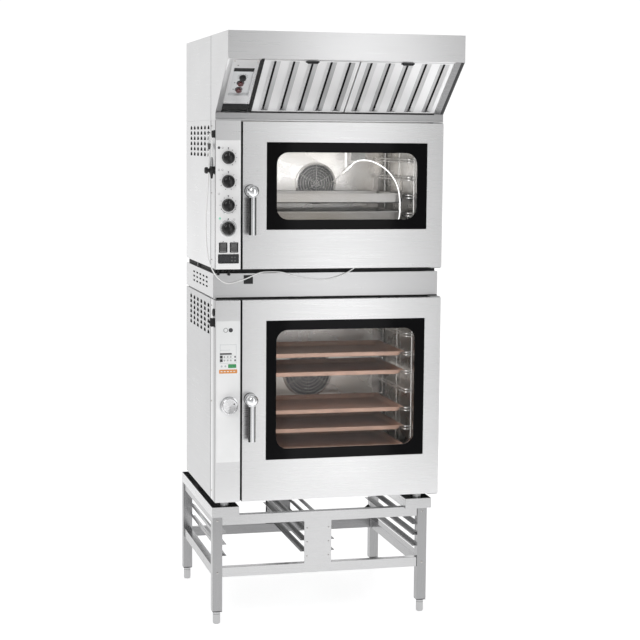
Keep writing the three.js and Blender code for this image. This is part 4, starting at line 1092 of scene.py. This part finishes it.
def add_filter(name, left):
    """Two rows of overlapping baffles in a channel frame, with a bail handle at the top; the flanks and
    curls carry painted light and shade, and the back row is painted in shadow.
    """
    body = "hood_filter_" + name
    right = left + 367
    low, high = 9, 314
    corners = ((left, low, 1, 1), (right, low, -1, 1), (right, high, -1, -1), (left, high, 1, -1))
    section = ((0, -1.2), (14, -1.2), (14, -2.4), (1.2, -2.4), (1.2, -22.8), (14, -22.8), (14, -24),
               (0, -24))
    rim = Shape().loft([
        [(x + a * inset, s + b * inset * 0.4, n) for x, s, a, b in corners] for inset, n in section
    ], closed=True)
    rim = rim.make(body + "_frame", STEEL_BAFFLE, body, bevel=0.5, matrix=SLOPE)
    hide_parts(body)
    flank = ((-16.2, -1.6), (-16.2, -2.8), (-29.4, -9.9), (-30, -8.8))
    curl = ((18.2, -1.6), (27, -3.6), (34, -8.6), (33.2, -9.5), (26.5, -4.8), (18.2, -2.8))
    hidden = ((-23, -22), (23, -22), (23, -13), (21.8, -13), (21.8, -20.8), (-21.8, -20.8), (-21.8, -13),
              (-23, -13))
    front, flanks, curls, back = Shape(), Shape(), Shape(), Shape()

    def strip(shape, profile, x):
        shape.loft([[(x + a, s, n) for a, n in profile] for s in (low + 3, high - 3)])

    for i in range(6):
        x = left + 7 + i * 72
        start, end = max(x - 16, left + 1.5), min(x + 18, right - 1.5)
        strip(front, ((start, -1.6), (end, -1.6), (end, -2.8), (start, -2.8)), 0)
        if i > 0:
            strip(flanks, flank, x)
        if i < 5:
            strip(curls, curl, x)
            strip(back, hidden, x + 38)
    # The flanks and curls swap the shaded and the lit steel between the two filters: painted light and
    # shade.
    flank_painted_tone, curl_painted_tone = (STEEL_BAFFLE_SHADED, STEEL_BAFFLE_LIT) if name == "left" else (STEEL_BAFFLE_LIT, STEEL_BAFFLE_SHADED)
    flanks.make(body + "_baffle_flanks", flank_painted_tone, body, matrix=SLOPE)
    curls.make(body + "_baffle_curls", curl_painted_tone, body, bevel=0.3, matrix=SLOPE, smooth=40)
    front.make(body + "_front_baffles", STEEL_BAFFLE, body, bevel=0.4, matrix=SLOPE)
    # The back baffles are painted in shadow.
    back.make(body + "_back_baffles", STEEL_IN_SHADOW, body, bevel=0.6, matrix=SLOPE)
    centre = (left + right) / 2
    plate = ((centre - 26, centre + 26), (high - 8, high - 0.5), (0.2, 1.6))
    blocks(body + "_handle_plate", BLACK_PLASTIC, plate, body=body, bevel=0.4, matrix=SLOPE)
    path = bent([(centre + side * 20, high - 4, n) for side, n in ((-1, 0), (-1, 7), (1, 7), (1, 0))], 4)
    wires(body + "_handle_bail", [[SLOPE @ Vector(p) for p in path]], 2.2, BLACK_PLASTIC, body)


def slope_turned(shape, profile, x, s, n, sides=36, hollow=False):
    """Turns a profile about an axis square to the filter plane."""
    return shape.turned(profile, SLOPE @ Vector((x, s, n)), SLOPE_OUT, sides, hollow)


def add_hood():
    """Skin, filters, switches, fillers beside the filters in dark steel as painted shade, a black strip
    painted as the shadow in the fat tray slot, seams, roof outlet and screws.
    """
    dress("hood_shell", STEEL_FLAT, 1.2)
    dress("hood_control_panel", STEEL_UPRIGHT, 0.6)
    add_filter("left", -320)
    add_filter("right", 52)
    profile = [(12.6, 0.4), (13, 1.4), (12.8, 8), (11.6, 12.5), (9.5, 14.6), (5, 15.2), (0.3, 15.3)]
    knob = slope_turned(Shape(), profile, -384, 200, -11.7, 44)
    knob.block((-385.6, -382.4), (190.5, 209.5), (2, 5.2), SLOPE)
    knob = knob.make("hood_speed_knob_cap", BLACK_PLASTIC, "hood_speed_knob", bevel=0.5, smooth=40)
    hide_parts("hood_speed_knob")
    button = [(8, -20), (8, -8), (11, -8), (11, -2.4), (10.2, -0.9), (7, -0.2), (0.3, 0)]
    for number, (x, s) in enumerate(((-387, 166), (-388, 127)), 1):
        name = "hood_button_%d" % number
        cap = slope_turned(Shape(), button, x, s, 0).make(name + "_cap", RED_LENS, name, smooth=40)
        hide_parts(name)
        collar = [(11.4, 0), (14.5, 0), (14.2, 1.6), (11.6, 1.8)]
        ring = slope_turned(Shape(), collar, x, s, -11.9, hollow=True)
        ring.make(name + "_ring", BLACK_PLASTIC)
    add_hood_panel_details()
    # The right filler and flange are dark steel and the fat tray slot a black strip: painted shade and
    # shadow.
    for name, material, x, s, out, bevel in (
        ("hood_filter_seal", RUBBER_AND_PAINTED_SHADOW, (-333.5, -321), (4, 322), 0.5, 0.2),
        ("hood_right_filler_painted_shade", STEEL_PAINTED_SHADE, (422, 445), (4, 322), 0.6, 0.2),
        ("hood_right_flange_painted_shadow", STEEL_IN_SHADOW, (445.2, 458), (4, 322), 0.6, 0.2),
        ("hood_fat_tray_slot_painted_shadow", RUBBER_AND_PAINTED_SHADOW, (-438, -338), (20, 53), 0.9, 0.3),
    ):
        blocks(name, material, (x, s, (-0.2, out), SLOPE), bevel=bevel)
    # The lower lip is in the darker steel: painted shade.
    lip = ((-301.6, 2052.2), (-300.6, 2053), (-300.6, 2026), (-303.5, 2026), (-303.5, 2028), (-302, 2028.6))
    Shape().prism(lip, (-459.2, 459.2)).make("hood_lower_lip", STEEL_LIP_PAINTED_SHADE, bevel=0.3)
    seams = [((x, x + 1.1), (HOOD_SEAM_Y - 1.2, HOOD_SEAM_Y + 1.2), (2024, 2349)) for x in (-460.4, 459.3)]
    blocks("hood_side_seams", STEEL_DARK, *seams, bevel=0.2)
    outlet = (0, 120, ROOF)
    collar = [(78, 0), (100, 0), (100, 1.6), (81, 2.2), (81, 7), (78.5, 7)]
    lathe("hood_outlet_collar", STEEL_CHASSIS, collar, outlet, UP, 64, True, slot="brushed_steel")
    lathe("hood_outlet_cover", STEEL_PAN, [(77.8, 0.2), (77.8, 3), (70, 4.4), (0.5, 4.8)], outlet, UP, 64)
    places = [(x, y, ROOF + 0.1) for x in (-430, 430) for y in (-520, -100, 340)]
    screw_row("hood_roof_screws", places, UP, 4)
    places = [(x, CASING_BACK + 0.1, z) for x in (-430, 0, 430) for z in (2050, 2325)]
    screw_row("hood_back_screws", places, BACKWARD, 4)


def add_hood_panel_details():
    """Printed dots and ticks, screws, the recess liner of the hood's switch panel, and black strips painted
    as the shadow at the recess's top and left wall.
    """
    prints = Shape()
    for x, s, n in ((-415, 281, 0.05), (-384, 246, -11.9), (-409, 127, -11.9), (-409, 166, -11.9)):
        slope_turned(prints, [(2.4, 0), (2.4, 0.3), (1.6, 0.4)], x, s, n, 16)
    for angle in range(-120, 121, 30):
        turn = SLOPE @ Matrix.Translation((-384, 200, -11.8)) @ Matrix.Rotation(math.radians(angle), 4, "Z")
        prints.block((-0.6, 0.6), (16.5, 20), (-0.1, 0.25), turn)
    prints.make("hood_panel_marks", PRINT)
    blocks("hood_panel_liner", LINER, ((-427, -349), (104.2, 265.8), (-11.98, -11.75), SLOPE), bevel=0.1)
    # A black wedge at the top of the recess and a strip down its left wall: painted shadow.
    shade = Shape().prism(((232, -11.7), (265.5, -11.7), (265.5, -1.5)), (-427, -349))
    shade.block((-427, -424.6), (118, 234), (-11.7, -11))
    shade.make("hood_panel_painted_shadow", RUBBER_AND_PAINTED_SHADOW, bevel=0.3, matrix=SLOPE)
    places = [SLOPE @ Vector((x, s, 0.1)) for x in (-432, -344) for s in (64, 306)]
    screw_row("hood_panel_screws", places, SLOPE_OUT, 3.4)


# ------------------------------------------------------------------ stand


def add_stand():
    """Frames, channels with black liners painted as the shade inside them, leg plugs, screws and feet; the
    side frames, runners and rear crossmember are darker steels as painted shade.
    """
    # The side frames, the centre runners and the rear crossmember are in darker steels: painted shade.
    for side in ("left", "right"):
        dress("stand_side_frame_" + side, STEEL_LEG_PAINTED_SHADE, 1.6)
        dress("stand_channel_" + side, STEEL_TUBE, 0.8)
    dress("stand_front_crossmember", STEEL_TUBE, 1.4)
    dress("stand_rear_crossmember", STEEL_PAINTED_SHADE, 1.4)
    dress("stand_centre_runners", STEEL_RUNNER_PAINTED_SHADE, 0.5)
    for place in ("front_left", "front_right", "rear_left", "rear_right"):
        add_foot("stand_foot_" + place)
    # Black liners in the channels: painted shade of the channels' insides.
    for side in ("left", "right"):
        low, high = span("stand_channel_" + side)
        along = (low.y + 3, high.y - 3)
        walls = [((x, x + 1.2), along, (low.z + 2.1, high.z - 1)) for x in (low.x + 2.1, high.x - 3.3)]
        floor = ((low.x + 3, high.x - 3), along, (low.z + 2.1, low.z + 3.6))
        blocks("stand_channel_painted_shade_" + side, RUBBER_AND_PAINTED_SHADOW, floor, *walls, bevel=0.3)
    plugs = [((x - 19.4, x + 19.4), (y - 19.4, y + 19.4), (51.6, 54.9)) for x in LEG_X for y in LEG_Y]
    blocks("stand_leg_end_plugs", BLACK_PLASTIC, *plugs, bevel=0.8)
    for name, y, axis in (("front", LEG_Y[0] - 20.1, FORWARD), ("rear", LEG_Y[1] + 20.1, BACKWARD)):
        places = [(x, y, z) for x in LEG_X for z in (213, 427)]
        screw_row("stand_%s_screws" % name, places, axis, 4.5, "tube_steel")
    posts = [(x, -194.2, z) for x in (-58, 32) for z in (262, 320, 378)]
    screw_row("stand_post_screws", posts, FORWARD, 3.5, "tube_steel")


def add_foot(node):
    """A turned foot with a groove, on its threaded stem."""
    low, high = span(node)
    place = ((low.x + high.x) / 2, (low.y + high.y) / 2, 0)
    profile = [(12, 0), (13.6, 1.2), (15.3, 5), (15.5, 8), (15.5, 40), (14.8, 41), (14.8, 43.2), (15.5, 44),
               (15.5, 50)]
    foot = Shape().turned(profile + [(13, 54.6), (6, 54.7)], place, UP)
    thread = [(5.2, 54.6)]
    for i in range(12):
        thread += [(6, 55.6 + 2.4 * i), (5.2, 56.8 + 2.4 * i)]
    foot.turned(thread, place, UP, 20)
    foot = foot.make(node + "_turned", STEEL_FOOT, node, smooth=25)
    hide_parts(node)


# ------------------------------------------------------------------ stage


def add_stage():
    """Pale floor with a painted glow that weakens far in front of the tower, even white surroundings and
    soft lamps; one lamp in each oven stands for its lights.
    """
    size = 40
    mesh = bpy.data.meshes.new("floor")
    corners = [(-size, -size, 0), (size, -size, 0), (size, size, 0), (-size, size, 0)]
    mesh.from_pydata(corners, [], [(0, 1, 2, 3)])
    floor = bpy.data.objects.new("floor", mesh)
    bpy.context.scene.collection.objects.link(floor)
    # The floor's glow is painted light: strong under and behind the tower, weak far in front of it.
    paint = Finish("floor_paint_and_painted_glow", (0.93, 0.93, 0.93), 0, 0.75, Emission_Strength=0.75)
    paint.shader.inputs["Emission Color"].default_value = (1, 1, 1, 1)
    paint.vary_roughness(paint.noise((3, 3, 3), 3), 0.7, 0.85)
    depth = paint.node("ShaderNodeSeparateXYZ")
    paint.link(paint.place, depth.inputs["Vector"])
    glow = paint.spread(depth.outputs["Y"], 0.12, 0.66, -3.6, -1.6)
    paint.link(glow, paint.shader.inputs["Emission Strength"])
    floor.data.materials.append(paint.material)

    add_world()
    for name, place, target, size, power in LAMPS:
        lamp(name, place, target, size, power)
    for name, plan in OVENS.items():
        low, high = plan["room"]
        middle = (low + high) / 2 * MM
        size = (0.6, (high - low) * MM * 0.85)
        lamp(name + "_oven_light", (0.04, -0.262, middle), (0.04, 0.2, middle), size, OVEN_LIGHT_POWER)


def add_world():
    """Even surroundings: white behind the tower, light grey in front."""
    world = bpy.data.worlds.new("studio")
    bpy.context.scene.world = world
    world.use_nodes = True
    tree = world.node_tree
    sky = tree.nodes["Background"]
    direction = tree.nodes.new("ShaderNodeTexCoord").outputs["Generated"]
    behind = tree.nodes.new("ShaderNodeVectorMath")
    behind.operation = "DOT_PRODUCT"
    behind.inputs[1].default_value = (0.242, 0.970, 0)
    tree.links.new(direction, behind.inputs[0])
    level = tree.nodes.new("ShaderNodeMapRange")
    level.interpolation_type = "SMOOTHSTEP"
    for socket, value in (("From Min", 0.70), ("From Max", 0.95), ("To Min", 0.42), ("To Max", 1.06)):
        level.inputs[socket].default_value = value
    tree.links.new(behind.outputs["Value"], level.inputs["Value"])
    sky.inputs["Color"].default_value = (1, 1, 1, 1)
    tree.links.new(level.outputs["Result"], sky.inputs["Strength"])


def lamp(name, place, target, size, power):
    data = bpy.data.lights.new(name, "AREA")
    data.shape = "RECTANGLE"
    data.size, data.size_y = size
    data.energy = power
    light = bpy.data.objects.new(name, data)
    light.location = place
    light.rotation_euler = (Vector(target) - Vector(place)).to_track_quat("-Z", "Y").to_euler()
    bpy.context.scene.collection.objects.link(light)


# ------------------------------------------------------------------ the tower

add_camera()
add_probe()
for oven, layout in OVENS.items():
    add_door(oven, layout)
    add_cavity(oven, layout)
    add_back(oven, layout)
add_lamp("upper", 262, 1885)
add_lamp("lower", 262, 1190)
tray("upper_pan_1", 1738, 38, 5, STEEL_VESSEL)
tray("upper_pan_2", 1666, 38, 5, STEEL_VESSEL)
for tray_number, tray_level in enumerate((717.2, 793.5, 869.8, 1022.4, 1098.7), 1):
    tray("lower_tray_%d" % tray_number, tray_level, 18, 3, TRAY_COATING)
add_upper_controls()
add_lower_controls()
add_left_side()
add_between()
add_hood()
add_stand()
add_stage()
bpy.context.scene.view_settings.view_transform = "Standard"
